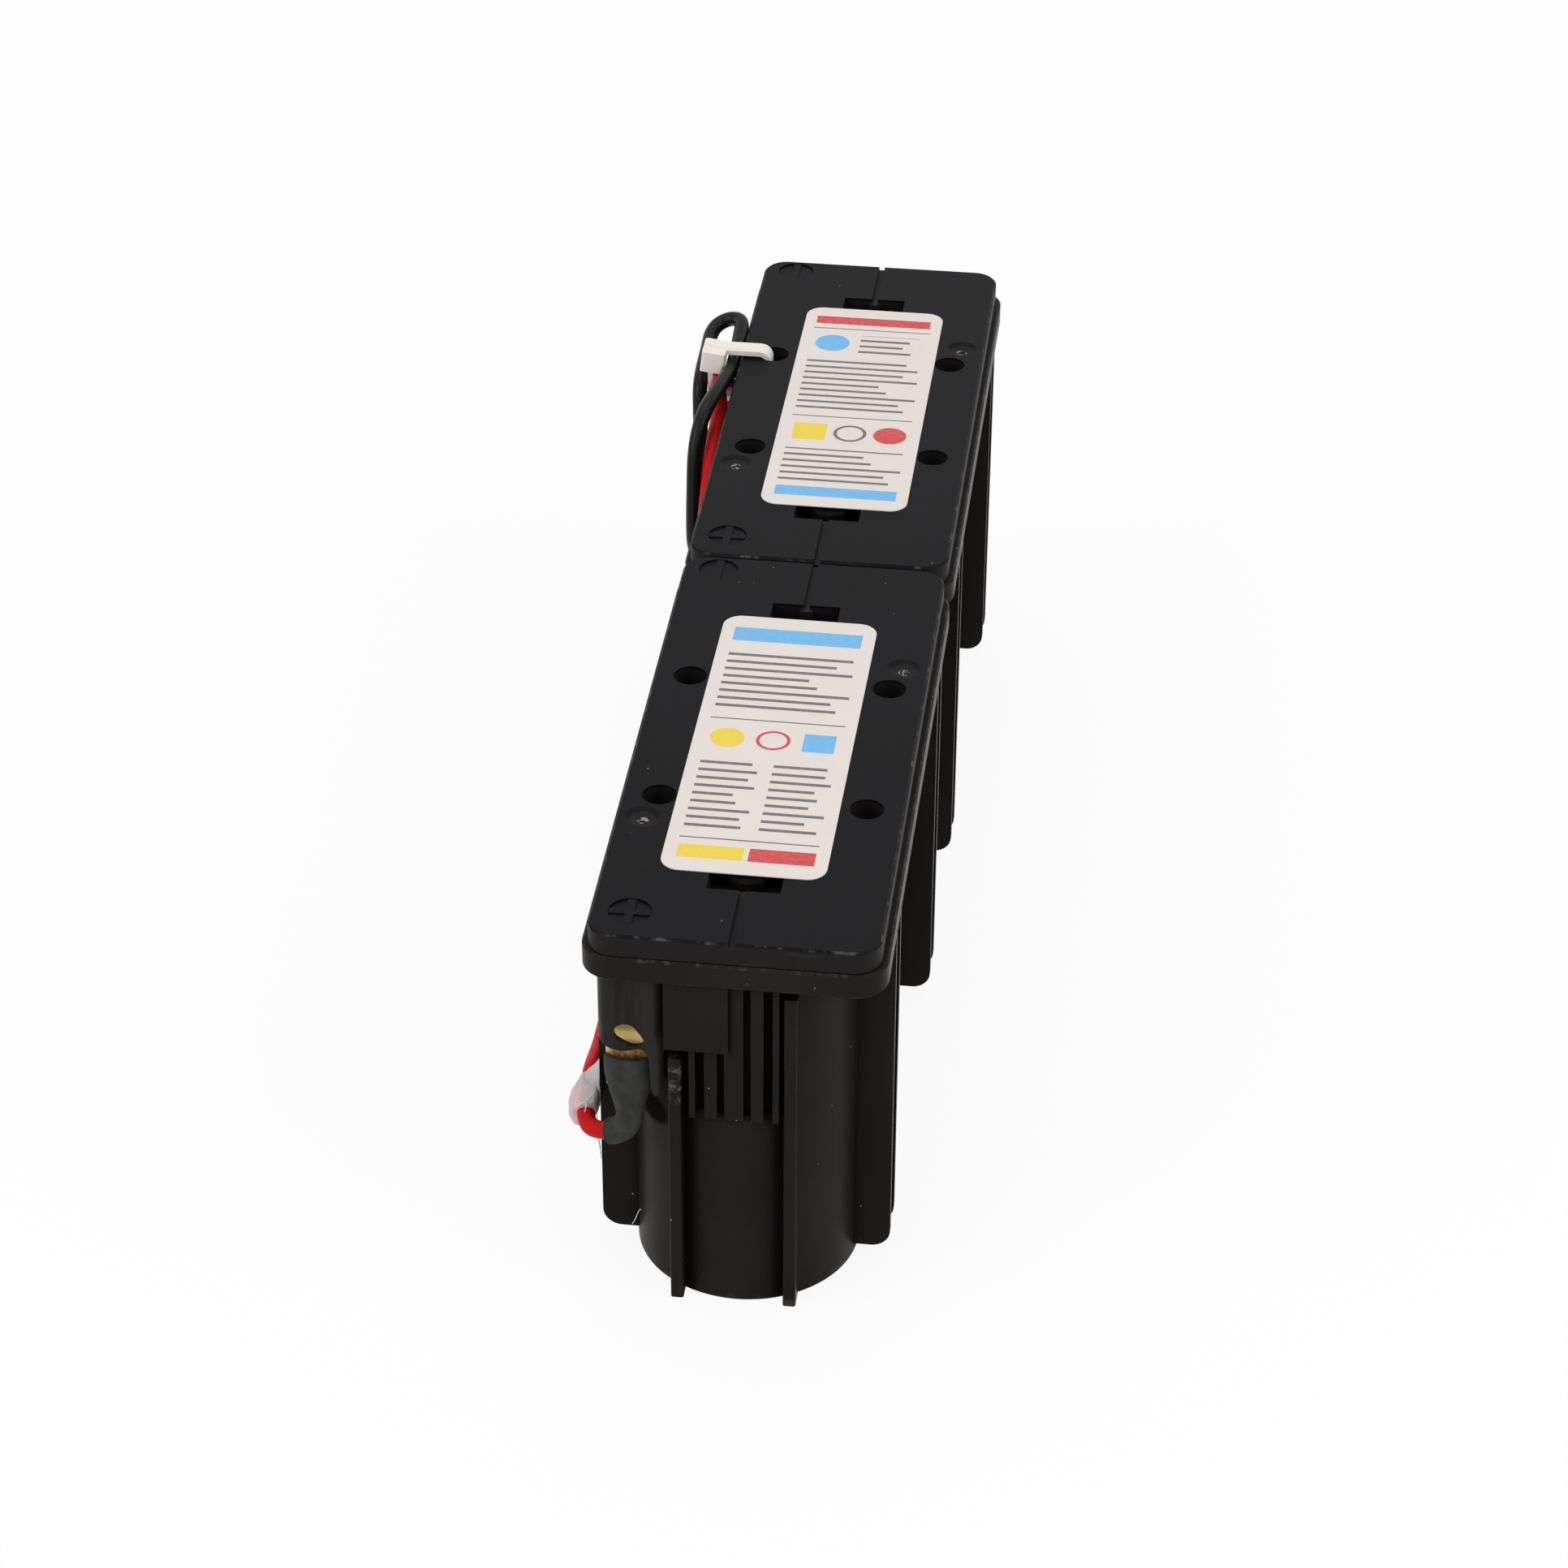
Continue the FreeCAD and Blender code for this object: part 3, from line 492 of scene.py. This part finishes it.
# Plain fields of the labels: shape, place and sizes in millimetres from the label's middle, and ink
LABEL_FIELDS = {
    "front": (
        (in_field, (0, 30.6, 10.4, 2.0), "blue"),
        (in_lines, (-10.4, 10.4, 9.0, 26.2, 2.15, 0.36), "ink"),
        (in_field, (0, 5.6, 10.6, 0.16), "ink"),
        (in_disc, (-7.2, 0.2, 2.7), "yellow"),
        (in_ring, (0.0, 0.2, 2.7, 0.55), "crimson"),
        (in_field, (7.2, 0.2, 2.5, 2.5), "blue"),
        (in_lines, (-10.4, -1.0, -24.5, -5.4, 2.15, 0.34), "ink"),
        (in_lines, (1.0, 10.4, -24.5, -5.4, 2.15, 0.34), "ink"),
        (in_field, (0, -27.4, 10.6, 0.16), "ink"),
        (in_field, (-5.4, -31.0, 5.0, 1.7), "yellow"),
        (in_field, (5.4, -31.0, 5.0, 1.7), "crimson"),
    ),
    "rear": (
        (in_field, (0, 31.4, 10.4, 1.4), "crimson"),
        (in_field, (0, 28.2, 10.6, 0.16), "ink"),
        (in_disc, (-6.6, 22.6, 3.1), "blue"),
        (in_lines, (-1.6, 10.4, 19.4, 26.0, 2.15, 0.36), "ink"),
        (in_lines, (-10.4, 10.4, -2.0, 16.4, 2.15, 0.34), "ink"),
        (in_field, (0, -4.8, 10.6, 0.16), "ink"),
        (in_field, (-6.9, -10.4, 2.9, 2.9), "yellow"),
        (in_ring, (0.2, -10.4, 2.9, 0.6), "ink"),
        (in_disc, (7.2, -10.4, 2.9), "crimson"),
        (in_lines, (-10.4, 10.4, -27.6, -16.4, 2.15, 0.34), "ink"),
        (in_field, (0, -31.2, 10.4, 1.6), "blue"),
    ),
}


def printed_label(block, colours, turn):
    """Cream film with plain fields of colour, a soft sheen and a faint paper grain."""
    f = Finish("%s_label_film" % block)
    x, y = f.split(f.point)[:2]
    centre = middle("%s_label" % block) * 1000
    off_x = x - centre.x
    off_y = y - centre.y
    across = off_x * math.cos(turn) + off_y * math.sin(turn)
    along = off_y * math.cos(turn) - off_x * math.sin(turn)
    paper = f.grain(2.5, 4.0, 0.6)
    blotch = f.grain(0.12, 3.0)
    colour = f.mix(blotch, tinted(colours.label, 0.96), tinted(colours.label, 1.03))
    for shape, sizes, ink in LABEL_FIELDS[block]:
        worn = 0.90 + 0.06 * f.grain(1.4, 3.0).ease(0.35, 0.6)
        colour = f.mix(shape(across, along, *sizes) * worn, colour, tuple(getattr(colours, ink)))
    dust = f.specks(0.3, 0.06, 0.08)
    colour = f.mix(dust * 0.4, colour, (0.25, 0.23, 0.2))
    return f.surface(base_color=colour, roughness=0.46 + 0.12 * paper, specular_ior_level=0.35,
                     normal=f.relief(paper, 0.08, 0.05))


def stamped_brass(colours):
    """Pale brass with rolling marks, worn spots that double as painted glints, brown tarnish in patches
    and a painted dark reflection on the receptacle lips.
    """
    f = Finish("stamped_brass")
    x, y, z = f.split(f.point)
    patch = f.grain(0.55, 4.0, 0.6)
    rolled = f.grain(1.0, 2.0, 0.5, f.stretched(7.0, 7.0, 0.4))
    # Worn spots, paler and less metallic, that also serve as painted glints.
    rubbed_and_highlit = f.grain(1.9, 4.0, 0.7).ease(0.38, 0.60)
    tarnish = patch.ease(0.56, 0.74)
    lip_low, lip_top, tab_face, tab_middle = 46.2, 46.6, 103.4, -16.3
    # Painted reflection: the receptacle lips go dark brown below their top edge, most in the middle.
    lip_dark_reflection = (1 - z.ease(lip_low, lip_top)) * (abs(y) > tab_face)
    lip_dark_reflection = lip_dark_reflection * (1 - 0.7 * abs(x - tab_middle).ease(1.9, 3.1))
    base = f.mix(patch, tuple(colours.brass), tinted(colours.brass, 1.1))
    base = f.mix(rubbed_and_highlit * 0.55, base, (0.86, 0.69, 0.26))
    base = f.mix(tarnish * 0.6, base, (0.30, 0.15, 0.045))
    # Painted dark reflection on the receptacle lips.
    base = f.mix(lip_dark_reflection * (1 - 0.18 * rubbed_and_highlit), base, (0.15, 0.06, 0.009))
    rough = 0.24 + 0.14 * patch + 0.22 * tarnish
    return f.surface(base_color=base, metallic=0.55 - 0.35 * rubbed_and_highlit, roughness=rough,
                     normal=f.relief(rolled + rubbed_and_highlit * 0.6, 0.12, 0.06))


def vinyl_boot():
    """Thin dark vinyl, slightly see-through brown, with soft lengthwise streaks and a painted sheen
    lighter towards its right side.
    """
    f = Finish("vinyl_boot")
    streak = f.grain(1.0, 3.0, 0.5, f.stretched(0.9, 0.9, 0.06))
    wrinkle = f.grain(0.7, 3.0)
    x = f.split(f.point)[0]
    low, high = (corner.x * 1000 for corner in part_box("red_terminal_boot"))
    # Painted sheen: the base colour grows lighter towards the boot's right side.
    painted_side_sheen = x.ease(low * 0.45 + high * 0.55, high)
    base = f.mix(streak.ease(0.35, 0.7), (0.009, 0.0085, 0.008), (0.018, 0.0165, 0.0145))
    base = f.mix(painted_side_sheen * 0.8, base, (0.031, 0.027, 0.0245))
    return f.surface(base_color=base, roughness=0.34 + 0.12 * wrinkle, specular_ior_level=0.10,
                     normal=f.relief(wrinkle, 0.14, 0.25))


def shrunk_tube():
    """Matt shrunk tube with a fine skin and shallow puckers."""
    f = Finish("shrunk_tube")
    skin = f.grain(4.5, 3.0, 0.6)
    pucker = f.grain(0.5, 3.0)
    base = f.mix(pucker.ease(0.3, 0.7), (0.026, 0.0255, 0.025), (0.042, 0.041, 0.040))
    return f.surface(base_color=base, roughness=0.62 + 0.12 * skin, specular_ior_level=0.15,
                     normal=f.relief(skin * 0.35 + pucker, 0.22, 0.22))


def wire_insulation(name, colour, rough, gloss, worn):
    """Glossy extruded insulation with faint scuffs."""
    f = Finish(name)
    cloud = f.grain(0.25, 3.0)
    scuff = f.grain(1.2, 4.0, 0.65).ease(0.58, 0.72)
    base = f.mix(cloud, tinted(colour, 0.82), tinted(colour, 1.15))
    base = f.mix(scuff * worn, base, (0.35, 0.33, 0.33))
    return f.surface(base_color=base, roughness=rough + 0.08 * cloud + 0.12 * scuff,
                     specular_ior_level=gloss, normal=f.relief(cloud + scuff * 0.2, 0.08, 0.12))


def natural_nylon(colours):
    """Waxy natural nylon with raised rails along the strap."""
    f = Finish("natural_nylon")
    y = f.split(f.point)[1]
    strap_inset = 1.7
    strap_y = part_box("cable_tie")[1].y * 1000 - strap_inset
    rail = abs(y - strap_y).ease(0.85, 1.15)
    cloud = f.grain(0.4, 3.0)
    base = f.mix(cloud, tinted(colours.nylon, 0.95), tinted(colours.nylon, 1.05))
    return f.surface(base_color=base, roughness=0.36 + 0.1 * cloud, specular_ior_level=0.45,
                     subsurface_weight=0.25, subsurface_scale=mm(1.2),
                     normal=f.relief(rail + cloud * 0.1, 0.5, 0.22))


def milky_glue(name, over_lead, clear):
    """Cloudy hot glue with a pink tint over the lead, fading to grey at the fin."""
    f = Finish(name)
    x = f.split(f.point)[0]
    cloud = f.grain(0.45, 3.0)
    outer_side, fin_side = -25.9, -22.9
    base = f.mix(x.ease(outer_side, fin_side), over_lead, clear)
    base = f.mix(cloud.ease(0.35, 0.75) * 0.12, base, (0.86, 0.80, 0.79))
    return f.surface(base_color=base, roughness=0.28 + 0.15 * cloud, specular_ior_level=0.45, ior=1.42,
                     transmission_weight=0.08, subsurface_weight=0.45, subsurface_scale=mm(1.2),
                     normal=f.relief(cloud, 0.20, 0.4))


def tinned_strand():
    """Bright tinned copper with a copper tint in patches."""
    f = Finish("tinned_strand")
    cloud = f.grain(2.0, 3.0)
    base = f.mix(cloud.ease(0.4, 0.7), (0.62, 0.60, 0.57), (0.72, 0.45, 0.30))
    return f.surface(base_color=base, metallic=1.0, roughness=0.25 + 0.2 * cloud)


def wound_plates():
    """Spiral of lead plate and glass mat on the roll's ends, mat with bands on its side."""
    f = Finish("wound_plates")
    share_x, share_y = f.split(f.inside)[:2]
    across = share_x - 0.5
    along = share_y - 0.5
    reach = (across * across + along * along).root()
    turn = f.maths("ARCTAN2", along, across) / (2 * math.pi)
    layers = 34.0
    layer = (reach * layers + turn).part()
    mat = abs(layer - 0.5) < 0.2
    cloud = f.grain(0.6, 4.0)
    base = f.mix(cloud, (0.10, 0.10, 0.105), (0.19, 0.19, 0.20))
    base = f.mix(mat * 0.8, base, (0.55, 0.55, 0.53))
    return f.surface(base_color=base, roughness=0.6 + 0.2 * cloud, metallic=0.35 - 0.35 * mat,
                     normal=f.relief(mat + cloud * 0.3, 0.3, 0.2))


def cast_lead():
    """Dull cast lead with a pitted skin."""
    f = Finish("cast_lead")
    pits = f.grain(1.6, 4.0, 0.6)
    base = f.mix(pits, (0.20, 0.205, 0.215), (0.36, 0.37, 0.385))
    return f.surface(base_color=base, metallic=0.85, roughness=0.42 + 0.2 * pits,
                     normal=f.relief(pits, 0.25, 0.12))


def valve_rubber():
    """Matt black rubber with a dusty bloom."""
    f = Finish("valve_rubber")
    bloom = f.grain(0.9, 4.0, 0.6)
    base = f.mix(bloom.ease(0.4, 0.75), (0.003, 0.0028, 0.0026), (0.009, 0.0075, 0.0065))
    return f.surface(base_color=base, roughness=0.66 + 0.15 * bloom, specular_ior_level=0.06,
                     normal=f.relief(bloom, 0.2, 0.1))


# Pieces


def dress(names, material):
    for name in names:
        NODES[name].data.materials.clear()
        NODES[name].data.materials.append(material)


def keep(name, data, material):
    """A new piece that rides with the pack."""
    piece = bpy.data.objects.new(name, data)
    bpy.context.scene.collection.objects.link(piece)
    piece.data.materials.append(material)
    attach(piece, "root")
    return piece


def add_raised(mesh, outline, low, high, bevel):
    """An upright piece over an outline with its upper edges broken, in a mesh that is being built."""
    foot = mesh.faces.new([mesh.verts.new((x, y, low)) for x, y in outline])
    made = bmesh.ops.extrude_face_region(mesh, geom=[foot])["geom"]
    corners = [v for v in made if isinstance(v, bmesh.types.BMVert)]
    for corner in corners:
        corner.co.z = high
    rim = [e for e in made if isinstance(e, bmesh.types.BMEdge)]
    bmesh.ops.bevel(mesh, geom=rim, offset=bevel, segments=2, affect="EDGES")


def finished_mesh(name, mesh, smooth):
    data = bpy.data.meshes.new(name)
    mesh.to_mesh(data)
    mesh.free()
    data.polygons.foreach_set("use_smooth", [smooth] * len(data.polygons))
    return data


def tube(name, routes, diameter, detail):
    """One open smooth spline for each route, as a round tube."""
    curve = bpy.data.curves.new(name, "CURVE")
    curve.dimensions = "3D"
    curve.bevel_depth = diameter / 2
    curve.bevel_resolution = detail
    curve.resolution_u = 10
    curve.use_fill_caps = True
    for route in routes:
        spline = curve.splines.new("NURBS")
        spline.points.add(len(route) - 1)
        for point, place in zip(spline.points, route):
            point.co = (*mm(*place), 1.0)
        spline.order_u = 3
        spline.use_endpoint_u = True
    return curve


class PACK_OT_mouldings(bpy.types.Operator):
    """Finishes the cases and lids and adds the raised polarity bars"""

    bl_idname = "pack.mouldings"
    bl_label = "Cases and lids"

    def execute(self, context):
        colours = context.scene.pack_colours
        lid = satin_lid(colours)
        dress(["%s_case" % b for b in BLOCKS], moulded_case(colours))
        dress(["%s_lid" % b for b in BLOCKS], lid)
        self.polarity_bars(context.scene.pack_sizes, lid)
        return {"FINISHED"}

    def polarity_bars(self, sizes, material):
        """A cross in each plus recess and one bar in each minus recess."""
        reach, depth, mark_x = mm(3.2), mm(0.3), mm(-15.8)
        plus_inset, minus_inset = mm(6.4), mm(4.1)
        below_lid, bevel = mm(0.06), mm(0.1)
        half = sizes.bar_width / 2
        bar = [(-half, -reach), (half, -reach), (half, reach), (-half, reach)]
        arm = [(-half, -reach), (half, -reach), (half, -half)]
        cross = []
        for quarter in range(4):
            cross += arm
            arm = [(-dy, dx) for dx, dy in arm]
        mesh = bmesh.new()
        for block in BLOCKS:
            low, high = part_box("%s_lid" % block)
            for outline, y in ((cross, low.y + plus_inset), (bar, high.y - minus_inset)):
                placed = [(mark_x + dx, y + dy) for dx, dy in outline]
                add_raised(mesh, placed, high.z - depth, high.z - below_lid, bevel)
        bmesh.ops.recalc_face_normals(mesh, faces=mesh.faces)
        keep("polarity_bars", finished_mesh("polarity_bars", mesh, False), material)


class PACK_OT_labels(bpy.types.Operator):
    """Prints plain fields of colour on the two labels"""

    bl_idname = "pack.labels"
    bl_label = "Labels"

    def execute(self, context):
        turns = {"front": math.radians(-0.45), "rear": math.radians(-0.1)}
        for block in BLOCKS:
            film = printed_label(block, context.scene.pack_colours, turns[block])
            dress(["%s_label" % block], film)
        return {"FINISHED"}


class PACK_OT_inside(bpy.types.Operator):
    """Finishes the wound cells, their straps and the relief valves"""

    bl_idname = "pack.inside"
    bl_label = "Inner pieces"

    def execute(self, context):
        rolls = ["%s_plate_roll_%d" % (b, n) for b in BLOCKS for n in (1, 2, 3)]
        valves = ["%s_relief_valve_%d" % (b, n) for b in BLOCKS for n in (1, 2, 3)]
        straps = ["%s_cell_strap_%d" % (b, n) for b in BLOCKS for n in (1, 2)]
        dress(rolls, wound_plates())
        dress(valves, valve_rubber())
        dress(straps, cast_lead())
        return {"FINISHED"}


class PACK_OT_terminals(bpy.types.Operator):
    """Finishes the brass tabs, the link, the receptacles, boots and sleeves"""

    bl_idname = "pack.terminals"
    bl_label = "Terminals"

    def execute(self, context):
        tabs = ["%s_%s_terminal" % (b, pole) for b in BLOCKS for pole in ("plus", "minus")]
        brass = tabs + ["series_link", "red_receptacle", "black_receptacle"]
        dress(brass, stamped_brass(context.scene.pack_colours))
        dress(["red_terminal_boot", "black_terminal_boot"], vinyl_boot())
        dress(["red_shrink_sleeve", "black_shrink_sleeve"], shrunk_tube())
        return {"FINISHED"}


class PACK_OT_leads(bpy.types.Operator):
    """Lays the red and the black lead with their stripped ends"""

    bl_idname = "pack.leads"
    bl_label = "Leads"

    def execute(self, context):
        sizes = context.scene.pack_sizes
        colours = context.scene.pack_colours
        metal = tinned_strand()
        red = wire_insulation("red_insulation", tuple(colours.red), 0.40, 0.07, 0.03)
        black = wire_insulation("black_insulation", tuple(colours.black), 0.24, 0.12, 0.05)
        self.lead("red", RED_ROUTE, sizes.red_diameter, sizes.red_length, red, metal, sizes)
        self.lead("black", BLACK_ROUTE, sizes.black_diameter, sizes.black_length, black, metal, sizes)
        return {"FINISHED"}

    def lead(self, name, route, diameter, length, material, metal, sizes):
        insulation = tube(name + "_wire", [route], diameter, detail=7)
        wire = keep(name + "_wire", insulation, material)
        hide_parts(name + "_lead")
        routes = self.strand_routes(route, sizes.strand * 1000)
        strands = tube(name + "_wire_end", routes, sizes.strand, detail=3)
        end = keep(name + "_wire_end", strands, metal)
        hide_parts(name + "_lead_strands")
        mm(*route[0])

    def strand_routes(self, route, strand):
        """Seven strands twisted on from the end of a lead, in millimetres."""
        end = Vector(route[-1])
        way = (end - Vector(route[-2])).normalized()
        side = way.orthogonal().normalized()
        other = way.cross(side)
        length, shorter, twist, steps, outer = 5.9, 0.12, 1.6, 7, 6
        spacing = strand * 1.02
        routes = [[tuple(end + way * (length * step / steps)) for step in range(steps + 1)]]
        for number in range(outer):
            points = []
            for step in range(steps + 1):
                angle = math.tau * number / outer + twist * step / steps
                offset = (side * math.cos(angle) + other * math.sin(angle)) * spacing
                points.append(tuple(end + way * ((length - shorter * number) * step / steps) + offset))
            routes.append(points)
        return routes


class PACK_OT_fixings(bpy.types.Operator):
    """Finishes the cable tie and shapes the hot glue on the red lead"""

    bl_idname = "pack.fixings"
    bl_label = "Tie and glue"

    def execute(self, context):
        colours = context.scene.pack_colours
        dress(["cable_tie"], natural_nylon(colours))
        milky = milky_glue("milky_glue", tuple(colours.glue), tuple(colours.clear_glue))
        lump = keep("glue_lump", self.glue_lump(), milky)
        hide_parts("glue_bead")
        thread = milky_glue("drawn_glue", (0.94, 0.91, 0.90), (0.90, 0.88, 0.87))
        width = context.scene.pack_sizes.string_width
        strings = tube("glue_strings", GLUE_STRINGS, width, detail=2)
        keep("glue_strings", strings, thread)
        return {"FINISHED"}

    def glue_lump(self):
        """A hooked bead that climbs the fin's edge, and a collar of glue on the lead."""
        mesh = bmesh.new()
        for stations in (GLUE_BEAD, GLUE_COLLAR):
            self.add_lobe(mesh, [Vector(mm(*s[:3])) for s in stations], [mm(s[3]) for s in stations])
        bmesh.ops.smooth_vert(
            mesh, verts=mesh.verts, factor=0.5, use_axis_x=True, use_axis_y=True, use_axis_z=True)
        bmesh.ops.recalc_face_normals(mesh, faces=mesh.faces)
        return finished_mesh("glue_lump", mesh, True)

    def station(self, spine, radii, share):
        """Middle, direction and radius of a lobe at a share of its length, on a smooth curve."""
        place = share * (len(spine) - 1)
        first = min(int(place), len(spine) - 2)
        between = place - first
        start, end = spine[first], spine[first + 1]
        before = spine[max(first - 1, 0)]
        after = spine[min(first + 2, len(spine) - 1)]
        points = 11
        path = geometry.interpolate_bezier(
            start, start + (end - before) / 6, end - (after - start) / 6, end, points)
        way = (end - start).lerp(after - before, 0.5).normalized()
        radius = radii[first] * (1 - between) + radii[first + 1] * between
        return path[round(between * (points - 1))], way, radius

    def add_lobe(self, mesh, spine, radii):
        """A lumpy tube along a spine, kept outside the fin and drawn up where it meets the fin's edge."""
        rings, around, closing_rings = 40, 40, 5
        fin_y, fin_inset, slant = mm(-92), mm(0.06), 0.16
        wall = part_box("front_case")[0].x + fin_inset
        climb, climb_reach, least = mm(1.4), mm(1.5), mm(0.01)
        lump_share, lump_scale = 0.08, 330
        up = Vector((0, 0, 1))
        rows = []
        for ring in range(rings + 1):
            centre, way, radius = self.station(spine, radii, ring / rings)
            side = way.cross(up).normalized()
            other = up.lerp(side.cross(way), ring / rings).normalized()
            closing = 1 - min((rings - ring) / closing_rings, 1)
            radius *= math.sqrt(1 - closing ** 2)
            row = []
            for step in range(around):
                angle = math.tau * step / around
                out = side * math.cos(angle) + other * math.sin(angle)
                lumps = 1 + lump_share * noise.noise(centre * lump_scale + out * 0.7)
                place = centre + out * (radius * lumps + least)
                place.x = min(place.x, wall + slant * max(fin_y - place.y, 0))
                near = max(0, 1 - (wall - place.x) / climb_reach)
                place.z += climb * near * near * max(out.z, 0)
                row.append(mesh.verts.new(place))
            rows.append(row)
        for row, above in zip(rows, rows[1:]):
            for step in range(around):
                ahead = (step + 1) % around
                mesh.faces.new((row[step], row[ahead], above[ahead], above[step]))
        mesh.faces.new(rows[0])
        mesh.faces.new(list(reversed(rows[-1])))


class PACK_OT_stage(bpy.types.Operator):
    """Adds the pale floor, the soft lamps and the camera"""

    bl_idname = "pack.stage"
    bl_label = "Stage"

    def execute(self, context):
        look = context.scene.stage_look
        context.scene.view_settings.view_transform = "Standard"
        self.floor(look)
        self.backdrop(context.scene, look)
        self.lamp("top_lamp", (-0.15, 0.25, 1.55), 1.3, look.top_power)
        self.lamp("left_lamp", (-1.05, -0.75, 0.85), 0.9, look.side_power)
        self.lamp("right_lamp", (1.15, -0.45, 0.80), 0.9, look.side_power)
        self.camera(context.scene, look)
        return {"FINISHED"}

    def seen(self, f):
        """1 for rays that see the backdrop straight, in a gloss or through something clear."""
        rays = f.node("ShaderNodeLightPath")
        straight = Amount(f, rays.outputs["Is Camera Ray"])
        glossy = Amount(f, rays.outputs["Is Glossy Ray"])
        clear = Amount(f, rays.outputs["Is Transmission Ray"])
        return f.maths("MAXIMUM", f.maths("MAXIMUM", straight, glossy), clear)

    def floor(self, look):
        f = Finish("pale_floor")
        paper = f.grain(0.02, 3.0)
        colour = f.mix(paper, tinted(look.floor, 0.99), tuple(look.floor))
        matt = f.node("ShaderNodeBsdfDiffuse", None, {"Color": colour})
        white = f.node("ShaderNodeEmission", None, {"Color": (1.0, 1.0, 1.0), "Strength": 1.0})
        blend = f.node(
            "ShaderNodeMixShader", None,
            {0: self.seen(f) * look.backdrop_share, 1: matt.outputs[0], 2: white.outputs[0]})
        f.feed(f.end.inputs["Surface"], blend.outputs[0])
        reach = 4.0
        mesh = bmesh.new()
        bmesh.ops.create_grid(mesh, x_segments=1, y_segments=1, size=reach)
        floor = bpy.data.objects.new("floor", finished_mesh("floor", mesh, False))
        floor.data.materials.append(f.owner)
        bpy.context.scene.collection.objects.link(floor)

    def backdrop(self, scene, look):
        f = Finish("studio", world=True)
        soft = f.node("ShaderNodeBackground", None, {"Color": (1.0, 1.0, 1.0), "Strength": look.ambient})
        white = f.node("ShaderNodeBackground", None, {"Color": (1.0, 1.0, 1.0), "Strength": 1.0})
        blend = f.node(
            "ShaderNodeMixShader", None, {0: self.seen(f), 1: soft.outputs[0], 2: white.outputs[0]})
        f.feed(f.end.inputs["Surface"], blend.outputs[0])
        scene.world = f.owner

    def lamp(self, name, place, size, power):
        data = bpy.data.lights.new(name, "AREA")
        data.shape = "SQUARE"
        data.size = size
        data.energy = power
        lamp = bpy.data.objects.new(name, data)
        lamp.location = place
        aim = Vector((0, 0, 0.04))
        lamp.rotation_euler = (aim - Vector(place)).to_track_quat("-Z", "Y").to_euler()
        bpy.context.scene.collection.objects.link(lamp)

    def camera(self, scene, look):
        data = bpy.data.cameras.new("camera")
        data.sensor_width = 36.0
        data.lens = look.lens
        data.clip_start = 0.01
        camera = bpy.data.objects.new("camera", data)
        turn, tilt, roll = look.azimuth, look.elevation, look.roll
        right = Vector((math.cos(turn), math.sin(turn), 0))
        up = Vector((-math.sin(tilt) * math.sin(turn), math.sin(tilt) * math.cos(turn), math.cos(tilt)))
        back = right.cross(up)
        turned = right * math.cos(roll) + up * math.sin(roll)
        lifted = up * math.cos(roll) - right * math.sin(roll)
        axes = Matrix((turned, lifted, back)).transposed()
        camera.matrix_world = Matrix.Translation(look.camera) @ axes.to_4x4()
        scene.collection.objects.link(camera)
        scene.camera = camera


class PACK_PT_sidebar(bpy.types.Panel):
    """Buttons and values of the battery pack"""

    bl_label = "Battery pack"
    bl_idname = "PACK_PT_sidebar"
    bl_space_type = "VIEW_3D"
    bl_region_type = "UI"
    bl_category = "Battery"

    def draw(self, context):
        for operator in OPERATORS:
            self.layout.operator(operator.bl_idname)
        for group in ("pack_sizes", "pack_colours", "stage_look"):
            values = getattr(context.scene, group)
            box = self.layout.box()
            for name in values.__annotations__:
                box.prop(values, name)


GROUPS = {"pack_sizes": PackSizes, "pack_colours": PackColours, "stage_look": StageLook}
OPERATORS = (
    PACK_OT_mouldings, PACK_OT_labels, PACK_OT_inside, PACK_OT_terminals, PACK_OT_leads, PACK_OT_fixings,
    PACK_OT_stage,
)


def register():
    for cls in (*GROUPS.values(), *OPERATORS, PACK_PT_sidebar):
        bpy.utils.register_class(cls)
    for name, group in GROUPS.items():
        setattr(bpy.types.Scene, name, bpy.props.PointerProperty(type=group))


def unregister():
    for name in GROUPS:
        delattr(bpy.types.Scene, name)
    for cls in (PACK_PT_sidebar, *reversed(OPERATORS), *GROUPS.values()):
        bpy.utils.unregister_class(cls)


def main():
    register()
    bpy.ops.pack.mouldings()
    bpy.ops.pack.labels()
    bpy.ops.pack.inside()
    bpy.ops.pack.terminals()
    bpy.ops.pack.leads()
    bpy.ops.pack.fixings()
    bpy.ops.pack.stage()


if __name__ == "__main__":
    main()
